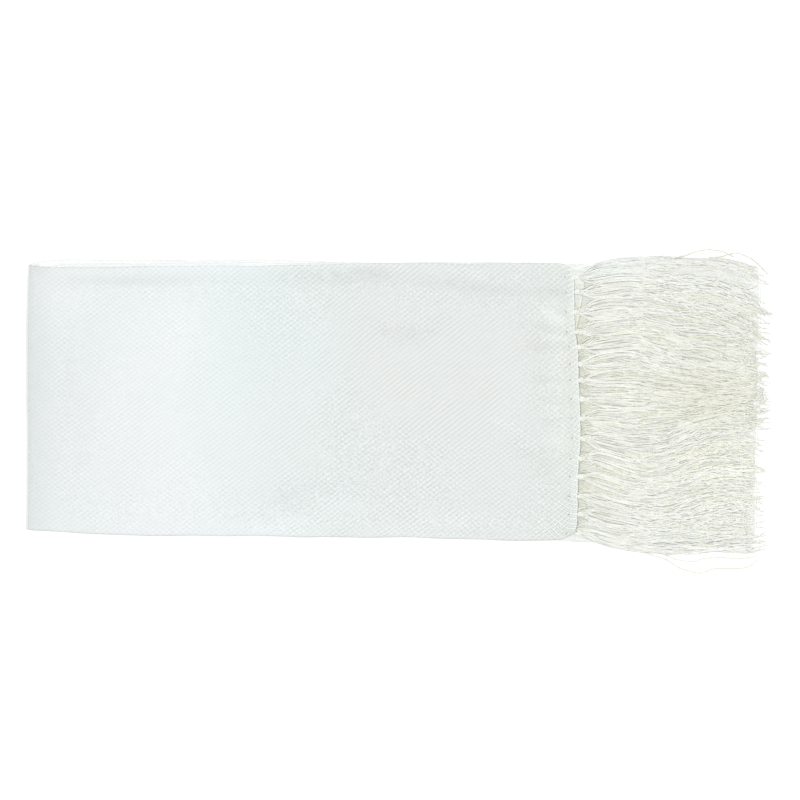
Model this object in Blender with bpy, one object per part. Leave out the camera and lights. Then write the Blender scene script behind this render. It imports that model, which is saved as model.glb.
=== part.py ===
"""A long silk-like scarf with a knotted yarn fringe at each end, folded in four and laid flat.

The scarf is doubled end to end, so that both fringed ends lie together, and doubled again. From the
top down that gives the first end's stretch, the second end's stretch, and two under layers that the
centre fold joins at +X. The second doubling makes two nested folds at -X. X runs along the scarf, Y
across it, and the origin lies under the middle of the whole piece, on the surface that it rests on.
"""

import math

import bpy
import numpy as np
from mathutils import Vector

MM = 0.001

# Layers of the stack
CLOTH_WALL = 1.5 * MM
LAYER_GAP = 0.3 * MM
UNDER_GROOVE = 0.5 * MM
GROOVE_DEPTH = 3.0 * MM
UNDER_TOP = 2 * CLOTH_WALL + UNDER_GROOVE
SECOND_LOW = UNDER_TOP + LAYER_GAP
TOP_LOW = SECOND_LOW + CLOTH_WALL + LAYER_GAP

# The top stretch stands higher in its middle, and comes down to its fold and to its hem
CROWN = 0.8 * MM
CROWN_BY_FOLD = 25.0 * MM
CROWN_BY_HEM = (-8.0 * MM, 60.0 * MM)

# Long edges of a wall: how far the two faces stand in from the side, as a share of half the wall
FACE_INSET = 0.8
# Long edges of the under layers: corners and shoulders, as shares of one layer's height
CORNER_INSET = 0.4
SHOULDER_INSET = 0.24
# The groove between the under layers closes towards the centre fold, as they lose this share of height
GROOVE_CLOSED = 0.5
GROOVE_LEAST = 0.04

# Folds at -X: the outer one carries the top stretch round, and the inner one the second end's
OUTER_FOLD_X = -318.6 * MM
OUTER_FOLD_REACH = 7.0 * MM
INNER_FOLD_X = -309.0 * MM
TUCK_X = -272.0 * MM
FOLD_STEPS = 8
# Rounding of the centre fold at +X, in degrees of a quarter turn, and where its slant starts
CENTRE_FOLD_BENDS = (25, 50, 75)
CENTRE_FOLD_SLANT_FROM = 150.0 * MM
UNDER_STEPS = 7

# Long edges of each stretch: place along X, far side and near side, all in millimetres
TOP_EDGES = (
    (-317.0, 123.0, -101.3),
    (-289.8, 122.5, -102.5),
    (-238.7, 122.5, -104.7),
    (-170.6, 123.0, -105.8),
    (-85.5, 124.2, -106.3),
    (0.0, 125.3, -107.1),
    (50.6, 125.5, -108.7),
    (118.7, 125.5, -109.6),
    (135.7, 125.1, -109.2),
    (141.5, 123.6, -107.4),
    (144.5, 121.5, -104.4),
    (150.0, 118.5, -101.0),
)
SECOND_EDGES = (
    (-310.0, 121.5, -98.5),
    (-300.0, 122.0, -99.0),
    (-286.0, 125.2, -99.7),
    (-170.0, 125.9, -103.5),
    (-85.5, 125.7, -104.5),
    (50.0, 125.9, -107.0),
    (140.0, 125.9, -107.5),
    (148.0, 124.5, -106.5),
    (156.0, 119.0, -103.0),
)
UNDER_EDGES = (
    (-319.0, 125.4, -99.5),
    (-312.0, 126.8, -100.5),
    (-296.0, 128.3, -100.9),
    (-222.0, 128.5, -102.5),
    (-106.0, 128.1, -104.6),
    (-65.0, 126.8, -105.4),
    (50.0, 126.1, -107.6),
    (118.7, 126.1, -109.8),
    (150.0, 125.0, -110.9),
    (212.0, 124.2, -112.3),
    (303.0, 122.5, -110.6),
)

# Ends of the stretches: place across Y and place along X, in millimetres
TOP_HEM = (
    (-104.0, 147.0),
    (-98.0, 149.7),
    (-80.0, 150.1),
    (-51.0, 150.6),
    (-24.7, 152.8),
    (9.4, 151.9),
    (30.6, 151.0),
    (52.0, 150.6),
    (60.0, 149.2),
    (68.0, 147.9),
    (77.4, 147.5),
    (111.5, 147.2),
    (120.0, 145.4),
)
SECOND_HEM = (
    (-105.5, 143.4),
    (-50.0, 145.1),
    (9.4, 146.0),
    (60.0, 147.7),
    (75.7, 150.9),
    (80.8, 151.9),
    (89.4, 153.0),
    (98.7, 154.3),
    (104.0, 155.3),
    (110.0, 155.9),
    (120.0, 154.0),
)
CENTRE_FOLD = (
    (-110.6, 302.6),
    (-25.0, 303.4),
    (0.0, 305.0),
    (60.0, 305.8),
    (104.0, 306.4),
    (122.5, 305.4),
)

# Knots along each hem: places across Y, in millimetres
TOP_KNOTS = (
    -103.0, -88.5, -72.3, -55.8, -40.5, -23.0, -6.0, 10.2, 26.4, 40.0, 54.5, 67.2, 84.2, 101.3, 113.4,
)
SECOND_KNOTS = (
    -102.6, -88.0, -73.1, -55.1, -41.2, -22.4, -6.8, 10.9, 25.6, 40.6, 53.9, 72.6, 86.8, 99.6, 113.2,
)
# The second end shows past the first one's hem at this many knots, counted from the far side
SECOND_KNOTS_SEEN = 4

# Least distance between two columns of a stretch
COLUMN_LEAST = 1.5 * MM
# Rings of the two upper stretches, as shares of the way from the fold to the hem
TOP_RINGS = (1.0, 0.99, 0.978, 0.965, 0.94, 0.88, 0.74, 0.56, 0.38, 0.2, 0.08, 0.03, 0.0)
SECOND_RINGS = (1.0, 0.985, 0.965, 0.94, 0.75, 0.5, 0.25, 0.06, 0.0)

# Hem: how far each knot pulls it in, and the soft ridges that stand between the knots
HEM_PULL = 1.3 * MM
PUCKER_RISE = 0.5 * MM
PUCKER_REACH = 20.0 * MM

# Knots: lengths of their three half axes, and their outline as (share along, share of width)
TOP_KNOT = {"half_length": 2.2 * MM, "half_width": 1.9 * MM, "half_height": 1.75 * MM}
SECOND_KNOT = {"half_length": 1.9 * MM, "half_width": 1.7 * MM, "half_height": 1.0 * MM}
TUCKED_KNOT = {"half_length": 1.9 * MM, "half_width": 1.7 * MM, "half_height": 0.75 * MM}
KNOT_PROFILE = ((-1.0, 0.45), (0.0, 1.0), (0.9, 0.78))
TOP_KNOT_ABOVE_STRANDS = 1.65 * MM
TOP_SLICE_START = math.radians(8)
SECOND_SLICE_START = math.radians(18)

# Strands: radius, how it grows from the knot and shrinks at the tip, and the step between two levels
STRAND_RADIUS = 0.8 * MM
ROOT_RADIUS_SHARE = 0.55
ROOT_GROWTH = 40.0 * MM
TIP_RADIUS_SHARE = 0.55
STRAND_LEVEL = 1.5 * STRAND_RADIUS + 0.4 * MM
# Tips past the centre fold sink towards the floor
TIP_LEVEL_SHARE = 0.8
TOP_STRANDS = 11
TOP_STRANDS_ABOVE = 6
SECOND_STRANDS = 5
# Stations of a strand before its last two, as shares of the way from its knot to the centre fold
TOP_BENDS = (0.06, 0.17, 0.36, 0.58, 0.8, 0.92)
SECOND_BENDS = (0.07, 0.22, 0.5, 0.78)
# A strand flares from this share of the way to its own lane, over this length
ROOT_FLARE = 0.36
FLARE_LENGTH = 46.0 * MM
# Uneven lie of each strand, and where it starts and is whole, counted from the knot
UNEVEN = 0.12 * MM
UNEVEN_FROM = (20.0 * MM, 50.0 * MM)
# The first end's strands pass over the second end's knots at the far side
LIFT_OVER_SECOND = 0.9 * MM
LIFT_FROM_Y = 70.0 * MM
LIFT_UNTIL_X = 168.0 * MM
LIFT_FADE = 6.0 * MM

# Where the dense part of the fringe reaches: place along X, far side and near side, in millimetres
FRINGE_SIDES = (
    (150.0, 118.5, -107.0),
    (157.0, 123.0, -108.0),
    (163.0, 125.6, -109.5),
    (170.0, 127.8, -111.0),
    (180.0, 129.2, -113.5),
    (195.0, 130.0, -117.0),
    (211.0, 130.8, -120.0),
    (235.0, 131.0, -121.8),
    (264.0, 131.0, -122.0),
    (287.0, 128.0, -121.5),
    (306.0, 121.5, -121.0),
    (318.0, 117.0, -120.5),
)
# Strands that have come away from its sides, by number of the tassel and level of the strand:
# places along X and across Y, in millimetres
LOOSE_STRANDS = {
    (0, 1): (
        (196.0, -117.0), (212.0, -122.0), (226.0, -126.4), (235.0, -132.4), (245.8, -136.2),
        (256.5, -137.9), (264.0, -134.8), (275.0, -134.0), (287.2, -134.0), (296.4, -132.4),
        (304.8, -126.4),
    ),
    (0, 2): (
        (190.0, -115.5), (205.0, -119.0), (220.0, -121.6), (235.0, -126.4), (250.5, -128.0),
        (257.0, -125.8), (272.0, -125.2), (287.0, -125.6), (302.5, -124.6),
    ),
    (14, 1): (
        (214.0, 130.2), (228.0, 131.4), (241.0, 133.4), (252.5, 136.2), (262.5, 137.4),
        (270.0, 136.9), (276.0, 135.8),
    ),
    (14, 2): (
        (262.0, 130.4), (274.0, 131.6), (284.0, 134.4), (293.0, 132.2), (301.0, 127.4),
        (307.5, 122.6), (312.5, 119.0),
    ),
}
LOOSE_FROM = 20.0 * MM
LOOSE_FALL = (0.5 * MM, 5.5 * MM)
# How far strands reach that pass the centre fold: place across Y and place along X, in millimetres
TIPS = (
    (-133.6, 296.0),
    (-128.5, 304.2),
    (-114.0, 307.6),
    (-92.8, 312.3),
    (-77.4, 317.0),
    (-54.5, 311.0),
    (-39.1, 308.9),
    (-11.1, 311.9),
    (17.9, 316.1),
    (51.9, 314.4),
    (77.4, 315.3),
    (101.3, 318.6),
    (116.6, 316.0),
    (126.8, 305.1),
    (137.0, 292.0),
)
TIP_SCATTER = 6.0 * MM
# Most strands end before the centre fold
SHARE_PAST_FOLD = 0.25
LEAST_PAST_FOLD = 1.5 * MM
SHORT_OF_FOLD = (1.0 * MM, 8.0 * MM)
LAST_STEP = 3.0 * MM
TIPS_SEEN_FROM_X = 300.0 * MM
GATHER_Y = 12.0 * MM
GATHER_SHARE = 0.30
GATHER_WIDTH = 0.28
GATHER_FROM_X = 205.0 * MM
GATHER_TO_X = 293.0 * MM
# Slow waves of the lanes, stiller at both sides, and each level a share of a wave on from the last
SWAY = 1.8 * MM
SWAY_LENGTH = 105.0 * MM
SWAY_FROM_X = 165.0 * MM
SWAY_SIDE_SHARE = 0.12
SWAY_UNEVEN = 0.5
SWAY_ACROSS = 5.0
SWAY_LEVEL_STEP = 0.31
# How far outside the under layers strands start to fall, and where they reach the floor
FOLD_DROOP = (-1.0 * MM, 11.0 * MM)
SIDE_DROOP = (4.0 * MM, 19.0 * MM)
SHARP_EDGE = math.radians(50)
SEED = 7


def material(name, colour, roughness):
    made = bpy.data.materials.new(name)
    made.use_nodes = True
    shader = made.node_tree.nodes["Principled BSDF"]
    shader.inputs["Base Color"].default_value = (*colour, 1.0)
    shader.inputs["Roughness"].default_value = roughness
    shader.inputs["Metallic"].default_value = 0.0
    return made


def read(table, place, column=1):
    """A table's value at a place, straight between its rows. Tables are in millimetres."""
    keys = [row[0] * MM for row in table]
    return float(np.interp(place, keys, [row[column] * MM for row in table]))


def smooth(value, low, high):
    """0 below low, 1 above high, and a soft S between."""
    share = min(max((value - low) / (high - low), 0.0), 1.0)
    return share * share * (3 - 2 * share)


def wall_ring(centre_line, normal, wall):
    """Points round a wall across the scarf: outer face, far edge, inner face, near edge."""
    step = normal * (wall / 2)
    sideways = Vector((0, wall / 2, 0))
    outer = [point + step for point in centre_line]
    inner = [point - step for point in reversed(centre_line)]
    # The long edges are soft folds, so the faces stop short and a middle point stands proud.
    outer[0] += sideways * FACE_INSET
    inner[-1] += sideways * FACE_INSET
    outer[-1] -= sideways * FACE_INSET
    inner[0] -= sideways * FACE_INSET
    return outer + [centre_line[-1]] + inner + [centre_line[0]]


def band_faces(ring_count, size):
    """Quads between neighbouring rings of one size."""
    faces = []
    for ring in range(ring_count - 1):
        for k in range(size):
            here = ring * size + k
            beside = ring * size + (k + 1) % size
            faces.append((here, beside, beside + size, here + size))
    return faces


def wall_faces(ring_count, columns):
    """Faces round a wall, with its first and last ring closed."""
    size = 2 * columns + 2
    faces = band_faces(ring_count, size)
    for first, turned in ((0, True), ((ring_count - 1) * size, False)):
        far_edge = first + columns
        near_edge = first + 2 * columns + 1
        closing = [(first + columns - 1, far_edge, far_edge + 1), (near_edge - 1, near_edge, first)]
        for k in range(columns - 1):
            low = near_edge - 1 - k
            closing.append((first + k, first + k + 1, low - 1, low))
        faces += [tuple(reversed(face)) if turned else face for face in closing]
    return faces


def column_places(knots):
    """Places across the scarf of a stretch's columns: one at each knot and one between each two."""
    places = [knot * MM for knot in knots]
    between = [(a + b) / 2 for a, b in zip(places, places[1:])]
    return sorted(places + between)


def columns_at(places, near, far):
    """The columns of one ring: both edges, and the places between them, kept in order and inside."""
    last = len(places)
    inside = [
        min(max(place, near + COLUMN_LEAST * (k + 1)), far - COLUMN_LEAST * (last - k))
        for k, place in enumerate(places)
    ]
    return [near] + inside + [far]


def pucker(index, columns):
    """1 between two knots, 0 at a knot and at the edges."""
    return 1.0 if 0 < index < columns - 1 and index % 2 == 0 else 0.0


def edge_at(edges, column, hem, fold_start, share_along, middle_x):
    """Where a long edge is on a ring that starts at middle_x and runs parallel to the hem."""
    aside = read(edges, middle_x, column)
    return read(edges, fold_start + (read(hem, aside) - fold_start) * share_along, column)


def stretch_rings(edges, hem, knots, along, level, fold_x, tuck_level, tuck_edges):
    """Rings of one stretch, from its hem, along the stack, round its fold and into its tuck."""
    fold_reach = OUTER_FOLD_REACH if tuck_level == 0 else (level - tuck_level) / 2
    fold_start = fold_x + CLOTH_WALL / 2 + fold_reach
    places = column_places(knots)
    count = len(places) + 2
    rings = []
    for share_along in along:
        middle_x = fold_start + (read(hem, 0.0) - fold_start) * share_along
        # The hem isn't square to the scarf, so each edge is read where the ring meets it.
        near = edge_at(edges, 2, hem, fold_start, share_along, middle_x)
        far = edge_at(edges, 1, hem, fold_start, share_along, middle_x)
        line = []
        for index, y in enumerate(columns_at(places, near, far)):
            share = (y - near) / (far - near)
            hem_x = read(hem, y) - HEM_PULL * (1 - pucker(index, count))
            x = fold_start + (hem_x - fold_start) * share_along
            crown = CROWN * math.sqrt(max(1 - (2 * share - 1) ** 2, 0.0))
            crown *= smooth(x, fold_start, fold_start + CROWN_BY_FOLD)
            crown *= smooth(hem_x - x, *CROWN_BY_HEM)
            ridge = PUCKER_RISE * pucker(index, count) * (1 - smooth(hem_x - x, 0, PUCKER_REACH))
            rise = crown + ridge if tuck_level == 0 else 0.0
            line.append(Vector((x, y, level + CLOTH_WALL / 2 + rise)))
        rings.append(wall_ring(line, Vector((0, 0, 1)), CLOTH_WALL))
    middle_z = (level + tuck_level + CLOTH_WALL) / 2
    half_height = (level - tuck_level) / 2
    for step in range(1, FOLD_STEPS):
        angle = math.pi * step / FOLD_STEPS
        x = fold_start - fold_reach * math.sin(angle)
        z = middle_z + half_height * math.cos(angle)
        turned = step / FOLD_STEPS
        near = read(edges, x, 2) * (1 - turned) + read(tuck_edges, x, 2) * turned
        far = read(edges, x, 1) * (1 - turned) + read(tuck_edges, x, 1) * turned
        line = [Vector((x, y, z)) for y in columns_at(places, near, far)]
        slope = Vector((-math.sin(angle) / fold_reach, 0, math.cos(angle) / half_height))
        rings.append(wall_ring(line, slope.normalized(), CLOTH_WALL))
    for x in (fold_start, (fold_start + TUCK_X) / 2, TUCK_X):
        near, far = read(tuck_edges, x, 2), read(tuck_edges, x, 1)
        z = tuck_level + CLOTH_WALL / 2
        line = [Vector((x, y, z)) for y in columns_at(places, near, far)]
        rings.append(wall_ring(line, Vector((0, 0, -1)), CLOTH_WALL))
    return rings, count


def under_ring(x, low, high, edge_in):
    """Points round the two under layers: flat below and above, with a groove in each long edge."""
    near, far = read(UNDER_EDGES, x, 2) + edge_in, read(UNDER_EDGES, x, 1) - edge_in
    height = high - low
    share = height / UNDER_TOP
    layer = CLOTH_WALL * share
    corner, shoulder = CORNER_INSET * layer, SHOULDER_INSET * layer
    depth = GROOVE_DEPTH * max((share - GROOVE_CLOSED) / (1 - GROOVE_CLOSED), GROOVE_LEAST)
    groove = UNDER_GROOVE * share
    side = (
        (corner, 0.0),
        (0.0, layer / 2),
        (shoulder, layer),
        (depth, layer + groove / 2),
        (shoulder, layer + groove),
        (0.0, layer + groove + layer / 2),
        (corner, height),
    )
    middle = (near + far) / 2
    right = [Vector((x, far - step_in, low + rise)) for step_in, rise in side]
    left = [Vector((x, near + step_in, low + rise)) for step_in, rise in reversed(side)]
    return right + [Vector((x, middle, high))] + left + [Vector((x, middle, low))]


def under_rings():
    """Sections of the under layers from the tuck at -X to the centre fold, which rounds them off."""
    radius = UNDER_TOP / 2
    end = max(row[1] for row in CENTRE_FOLD) * MM
    start = TUCK_X + LAYER_GAP
    straight = [start + (end - radius - start) * k / UNDER_STEPS for k in range(UNDER_STEPS + 1)]
    rings = [under_ring(x, 0.0, UNDER_TOP, 0.0) for x in straight]
    for degrees in CENTRE_FOLD_BENDS:
        angle = math.radians(degrees)
        x = end - radius + radius * math.sin(angle)
        rise = radius * (1 - math.cos(angle))
        rings.append(under_ring(x, rise, UNDER_TOP - rise, rise))
    # The centre fold isn't quite square to the scarf, so the last stretch is sheared to its line.
    for ring in rings:
        for point in ring:
            share = smooth(point.x, CENTRE_FOLD_SLANT_FROM, end)
            point.x += (read(CENTRE_FOLD, point.y) - end) * share
    return rings


def ring_faces(ring_count, size):
    """Faces round a solid of rings, with its first and last ring closed by one face each."""
    faces = band_faces(ring_count, size)
    last = (ring_count - 1) * size
    faces.append(tuple(range(size - 1, -1, -1)))
    faces.append(tuple(range(last, last + size)))
    return faces


def support_height(x, y):
    """Height of what lies under the fringe: the under layers, falling softly to the floor outside."""
    past_fold = x - read(CENTRE_FOLD, y)
    past_side = max(y - read(UNDER_EDGES, x, 1), read(UNDER_EDGES, x, 2) - y)
    fallen = max(smooth(past_fold, *FOLD_DROOP), smooth(past_side, *SIDE_DROOP))
    return UNDER_TOP * (1 - fallen)


def share_span(knots, number):
    """The part of the fringe's width that one tassel fills: halfway to the knots beside it."""
    near, far = FRINGE_SIDES[1][2] * MM, FRINGE_SIDES[1][1] * MM
    places = [near] + [(a + b) / 2 * MM for a, b in zip(knots, knots[1:])] + [far]
    return tuple((place - near) / (far - near) for place in places[number : number + 2])


def lane(share, x, level):
    """Place across the fringe of a strand, from its share of the width counted from the near side.

    Strands draw together towards one place near the tips, and each level sways in its own phase.
    """
    near, far = read(FRINGE_SIDES, x, 2), read(FRINGE_SIDES, x, 1)
    gather_share = (GATHER_Y - near) / (far - near)
    off = share - gather_share
    drawn = GATHER_SHARE * smooth(x, GATHER_FROM_X, GATHER_TO_X)
    share -= drawn * off * math.exp(-((off / GATHER_WIDTH) ** 2))
    sway = SWAY * (1 + SWAY_UNEVEN * math.sin(SWAY_ACROSS * share + level))
    sway *= smooth(min(share, 1 - share), 0.0, SWAY_SIDE_SHARE)
    sway *= smooth(x, SWAY_FROM_X, SWAY_FROM_X + SWAY_LENGTH / 2)
    turns = x / SWAY_LENGTH + SWAY_LEVEL_STEP * level
    return near + (far - near) * share + sway * math.sin(2 * math.pi * turns)


def loose_lane(y, x, loose):
    """The lane of a strand that leaves the fringe's side: its own lane y, and then its own places."""
    first = loose[0][0] * MM
    away = smooth(x, first - LOOSE_FROM, first)
    return y + (read(loose, x) - y) * away


def outside_fringe(x, y):
    """How far a place is outside the dense part of the fringe, below 0 within it."""
    return max(y - read(FRINGE_SIDES, x, 1), read(FRINGE_SIDES, x, 2) - y)


def strand_stations(root_x, end_y, bends, past_fold, loose, random):
    """Places along X of a strand's sections. The last one is its tip."""
    fold_x = read(CENTRE_FOLD, end_y)
    if past_fold:
        tip_x = max(read(TIPS, end_y) - TIP_SCATTER * random.random(), fold_x + LEAST_PAST_FOLD)
    else:
        tip_x = fold_x - random.uniform(*SHORT_OF_FOLD)
    last = min(fold_x, tip_x - LAST_STEP)
    stations = [root_x + (fold_x - root_x) * bend for bend in bends] + [last, tip_x]
    if loose is None:
        return stations
    places = [row[0] * MM for row in loose]
    return [x for x in stations if x < places[0]] + places


def strand_sections(root_x, knot_y, share, level, stations, loose, random):
    """Three-sided sections of one strand, from just past its knot to its tip."""
    sections = []
    for x in stations:
        at_tip = x == stations[-1]
        flare = ROOT_FLARE + (1 - ROOT_FLARE) * smooth(x, root_x, root_x + FLARE_LENGTH)
        y = knot_y + (lane(share, x, level) - knot_y) * flare
        if loose is None:
            uneven = smooth(x, root_x + UNEVEN_FROM[0], root_x + UNEVEN_FROM[1])
            y += random.uniform(-UNEVEN, UNEVEN) * uneven
            on_pile = 1.0
        else:
            y = loose_lane(y, x, loose)
            on_pile = 1 - smooth(outside_fringe(x, y), *LOOSE_FALL)
        grown = smooth(x, root_x, root_x + ROOT_GROWTH)
        radius = STRAND_RADIUS * (ROOT_RADIUS_SHARE + (1 - ROOT_RADIUS_SHARE) * grown)
        radius *= TIP_RADIUS_SHARE if at_tip else 1.0
        sunk = at_tip and x > read(CENTRE_FOLD, y)
        above = STRAND_LEVEL * level * on_pile * (TIP_LEVEL_SHARE if sunk else 1.0)
        z = support_height(x, y) + LAYER_GAP + STRAND_RADIUS / 2 + above
        if level > 0 and y > LIFT_FROM_Y:
            z += LIFT_OVER_SECOND * (1 - smooth(x, LIFT_UNTIL_X - LIFT_FADE, LIFT_UNTIL_X))
        half = radius * math.sqrt(0.75)
        sections.append(
            [
                Vector((x, y - half, z - radius / 2)),
                Vector((x, y + half, z - radius / 2)),
                Vector((x, y, z + radius)),
            ]
        )
    return sections


def knot_ring(centre, knot, along, width, start, count):
    """Points round a knot at one place along it, one for each slice of its front."""
    angles = [start + 2 * math.pi * k / count for k in range(count)]
    return [
        centre
        + Vector(
            (
                knot["half_length"] * along,
                knot["half_width"] * width * math.cos(angle),
                knot["half_height"] * width * math.sin(angle),
            )
        )
        for angle in angles
    ]


def tassel_mesh(centre, knot, strands):
    """A knot whose front is cut into slices like a pie, each of which runs on as one strand."""
    count = len(strands)
    start = strands[0]["angle"] - math.pi / count
    points = []
    for along, width in KNOT_PROFILE:
        points += knot_ring(centre, knot, along, width, start, count)
    faces = [tuple(range(count - 1, -1, -1))] + band_faces(len(KNOT_PROFILE), count)
    front = (len(KNOT_PROFILE) - 1) * count
    middle = len(points)
    points.append(centre + Vector((knot["half_length"], 0, 0)))
    for k, strand in enumerate(strands):
        before = [middle, front + k, front + (k + 1) % count]
        for section in strand["sections"]:
            turn = best_turn([points[index] for index in before], section)
            here = [len(points) + (corner + turn) % 3 for corner in range(3)]
            points += section
            for side in range(3):
                after = (side + 1) % 3
                faces.append((before[side], before[after], here[after], here[side]))
            before = here
        faces.append(tuple(before))
    return points, faces


def best_turn(triangle, other):
    """The turn that matches the corners of one triangle to those of the next with least twist."""
    middle = sum(triangle, Vector()) / 3
    other_middle = sum(other, Vector()) / 3

    def twist(turn):
        pairs = ((triangle[k] - middle, other[(k + turn) % 3] - other_middle) for k in range(3))
        return sum((a.normalized() - b.normalized()).length_squared for a, b in pairs)

    return min(range(3), key=twist)


def strand(number, root_x, knot_y, share, level, angle, bends, past_fold, outermost, random):
    """One strand of a tassel: the angle of its slice of the knot, and its sections."""
    loose = LOOSE_STRANDS.get((number, level)) if outermost else None
    end_y = lane(share, TIPS_SEEN_FROM_X, level)
    stations = strand_stations(root_x, end_y, bends, past_fold, loose, random)
    sections = strand_sections(root_x, knot_y, share, level, stations, loose, random)
    return {"angle": angle, "sections": sections}


def top_tassels(random):
    """Tassels of the first end: eleven strands each, six on the upper level and five below."""
    below = TOP_STRANDS - TOP_STRANDS_ABOVE
    made = []
    for number, knot_y in enumerate(k * MM for k in TOP_KNOTS):
        lifted = LIFT_OVER_SECOND if knot_y > LIFT_FROM_Y else 0.0
        x = read(TOP_HEM, knot_y) - HEM_PULL + LAYER_GAP + TOP_KNOT["half_length"] + CLOTH_WALL / 2
        z = SECOND_LOW + STRAND_LEVEL + TOP_KNOT_ABOVE_STRANDS + lifted
        start, end = share_span(TOP_KNOTS, number)
        strands = []
        for k in range(TOP_STRANDS):
            upper = k < TOP_STRANDS_ABOVE
            per_level = TOP_STRANDS_ABOVE if upper else below
            # Upper slices run from the far side to the near one, and lower slices come back.
            order = per_level - 1 - k if upper else k - TOP_STRANDS_ABOVE
            outermost = order == (0 if number == 0 else per_level - 1)
            strands.append(
                strand(
                    number,
                    x + TOP_KNOT["half_length"],
                    knot_y,
                    start + (end - start) * (order + 0.5) / per_level,
                    2 if upper else 1,
                    TOP_SLICE_START + 2 * math.pi * k / TOP_STRANDS,
                    TOP_BENDS,
                    random.random() < SHARE_PAST_FOLD,
                    outermost,
                    random,
                )
            )
        made.append(tassel_mesh(Vector((x, knot_y, z)), TOP_KNOT, strands))
    return made


def second_tassels(random):
    """Tassels of the second end, which lie under the first end's fringe.

    Most of their knots are tucked under the first end's hem.
    """
    made = []
    slices = [SECOND_SLICE_START + 2 * math.pi * k / SECOND_STRANDS for k in range(SECOND_STRANDS)]
    by_place = sorted(range(SECOND_STRANDS), key=lambda k: math.cos(slices[k]))
    for number, knot_y in enumerate(k * MM for k in SECOND_KNOTS):
        seen = number >= len(SECOND_KNOTS) - SECOND_KNOTS_SEEN
        knot = SECOND_KNOT if seen else TUCKED_KNOT
        x = read(SECOND_HEM, knot_y) + CLOTH_WALL / 2 + LAYER_GAP + knot["half_length"]
        z = UNDER_TOP + LAYER_GAP + knot["half_height"]
        start, end = share_span(SECOND_KNOTS, number)
        strands = [
            strand(
                number,
                x + knot["half_length"],
                knot_y,
                start + (end - start) * (by_place.index(k) + 0.5) / SECOND_STRANDS,
                0,
                slices[k],
                SECOND_BENDS,
                False,
                False,
                random,
            )
            for k in range(SECOND_STRANDS)
        ]
        made.append(tassel_mesh(Vector((x, knot_y, z)), knot, strands))
    return made


def add_object(name, points, faces, finish):
    """One node from points and faces."""
    mesh = bpy.data.meshes.new(name)
    mesh.from_pydata([tuple(point) for point in points], [], faces)
    mesh.materials.append(finish)
    mesh.shade_smooth()
    mesh.set_sharp_from_angle(angle=SHARP_EDGE)
    made = bpy.data.objects.new(name, mesh)
    bpy.context.scene.collection.objects.link(made)


def flat(rings):
    return [point for ring in rings for point in ring]


def main():
    for old in list(bpy.data.objects):
        bpy.data.objects.remove(old)
    cloth = material("diamond_weave_cloth", (0.81, 0.85, 0.85), 0.5)
    yarn = material("twisted_yarn", (0.80, 0.80, 0.73), 0.65)
    random = np.random.default_rng(SEED)

    pieces = []
    rings, columns = stretch_rings(
        TOP_EDGES, TOP_HEM, TOP_KNOTS, TOP_RINGS, TOP_LOW, OUTER_FOLD_X, 0.0, UNDER_EDGES
    )
    pieces.append(("top_stretch", flat(rings), wall_faces(len(rings), columns), cloth))

    rings, columns = stretch_rings(
        SECOND_EDGES, SECOND_HEM, SECOND_KNOTS[::3], SECOND_RINGS,
        SECOND_LOW, INNER_FOLD_X, UNDER_TOP - CLOTH_WALL, SECOND_EDGES,
    )
    pieces.append(("second_end_stretch", flat(rings), wall_faces(len(rings), columns), cloth))

    rings = under_rings()
    pieces.append(("under_stretch", flat(rings), ring_faces(len(rings), len(rings[0])), cloth))

    for number, (points, faces) in enumerate(top_tassels(random), 1):
        pieces.append((f"top_tassel_{number:02d}", points, faces, yarn))
    for number, (points, faces) in enumerate(second_tassels(random), 1):
        pieces.append((f"second_tassel_{number:02d}", points, faces, yarn))

    every = np.array([tuple(point) for _, points, _, _ in pieces for point in points])
    middle = (every.min(axis=0) + every.max(axis=0)) / 2
    shift = Vector((-middle[0], -middle[1], 0))
    for name, points, faces, finish in pieces:
        add_object(name, [point + shift for point in points], faces, finish)


main()
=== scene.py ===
"""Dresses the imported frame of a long, silk-like scarf with a knotted yarn fringe at each end.

The cloth is one closed shell that follows the whole scarf: the top stretch from its hem to the outer
fold, the bottom layer to the centre fold, the layer above it to the inner fold, and the second end's
stretch to its hem. Each tassel is a knot with its own twisted yarns. All tables count in millimetres
from the middle of the view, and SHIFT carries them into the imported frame.
"""

import math

import bpy
import numpy as np
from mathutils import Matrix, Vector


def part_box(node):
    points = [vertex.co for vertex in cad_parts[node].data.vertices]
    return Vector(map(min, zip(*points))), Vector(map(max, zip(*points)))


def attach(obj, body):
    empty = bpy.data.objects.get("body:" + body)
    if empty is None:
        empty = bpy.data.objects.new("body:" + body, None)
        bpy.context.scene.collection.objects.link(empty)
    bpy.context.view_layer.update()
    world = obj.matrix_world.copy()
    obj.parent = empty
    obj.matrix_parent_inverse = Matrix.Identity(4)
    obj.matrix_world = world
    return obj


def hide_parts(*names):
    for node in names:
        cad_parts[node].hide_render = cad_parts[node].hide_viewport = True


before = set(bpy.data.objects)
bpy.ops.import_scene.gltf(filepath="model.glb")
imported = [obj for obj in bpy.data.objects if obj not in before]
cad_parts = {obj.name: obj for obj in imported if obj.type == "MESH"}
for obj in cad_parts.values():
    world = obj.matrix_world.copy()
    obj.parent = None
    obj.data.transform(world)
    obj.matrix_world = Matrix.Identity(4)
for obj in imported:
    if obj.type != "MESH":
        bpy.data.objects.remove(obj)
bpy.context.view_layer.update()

bl_info = {
    "name": "Fringed Scarf",
    "version": (1, 0, 0),
    "blender": (4, 5, 0),
    "location": "3D View > Sidebar > Scarf",
    "description": "Woven cloth and twisted yarn fringe for a long scarf that is folded in four",
    "category": "Object",
}

MM = 0.001

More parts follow.
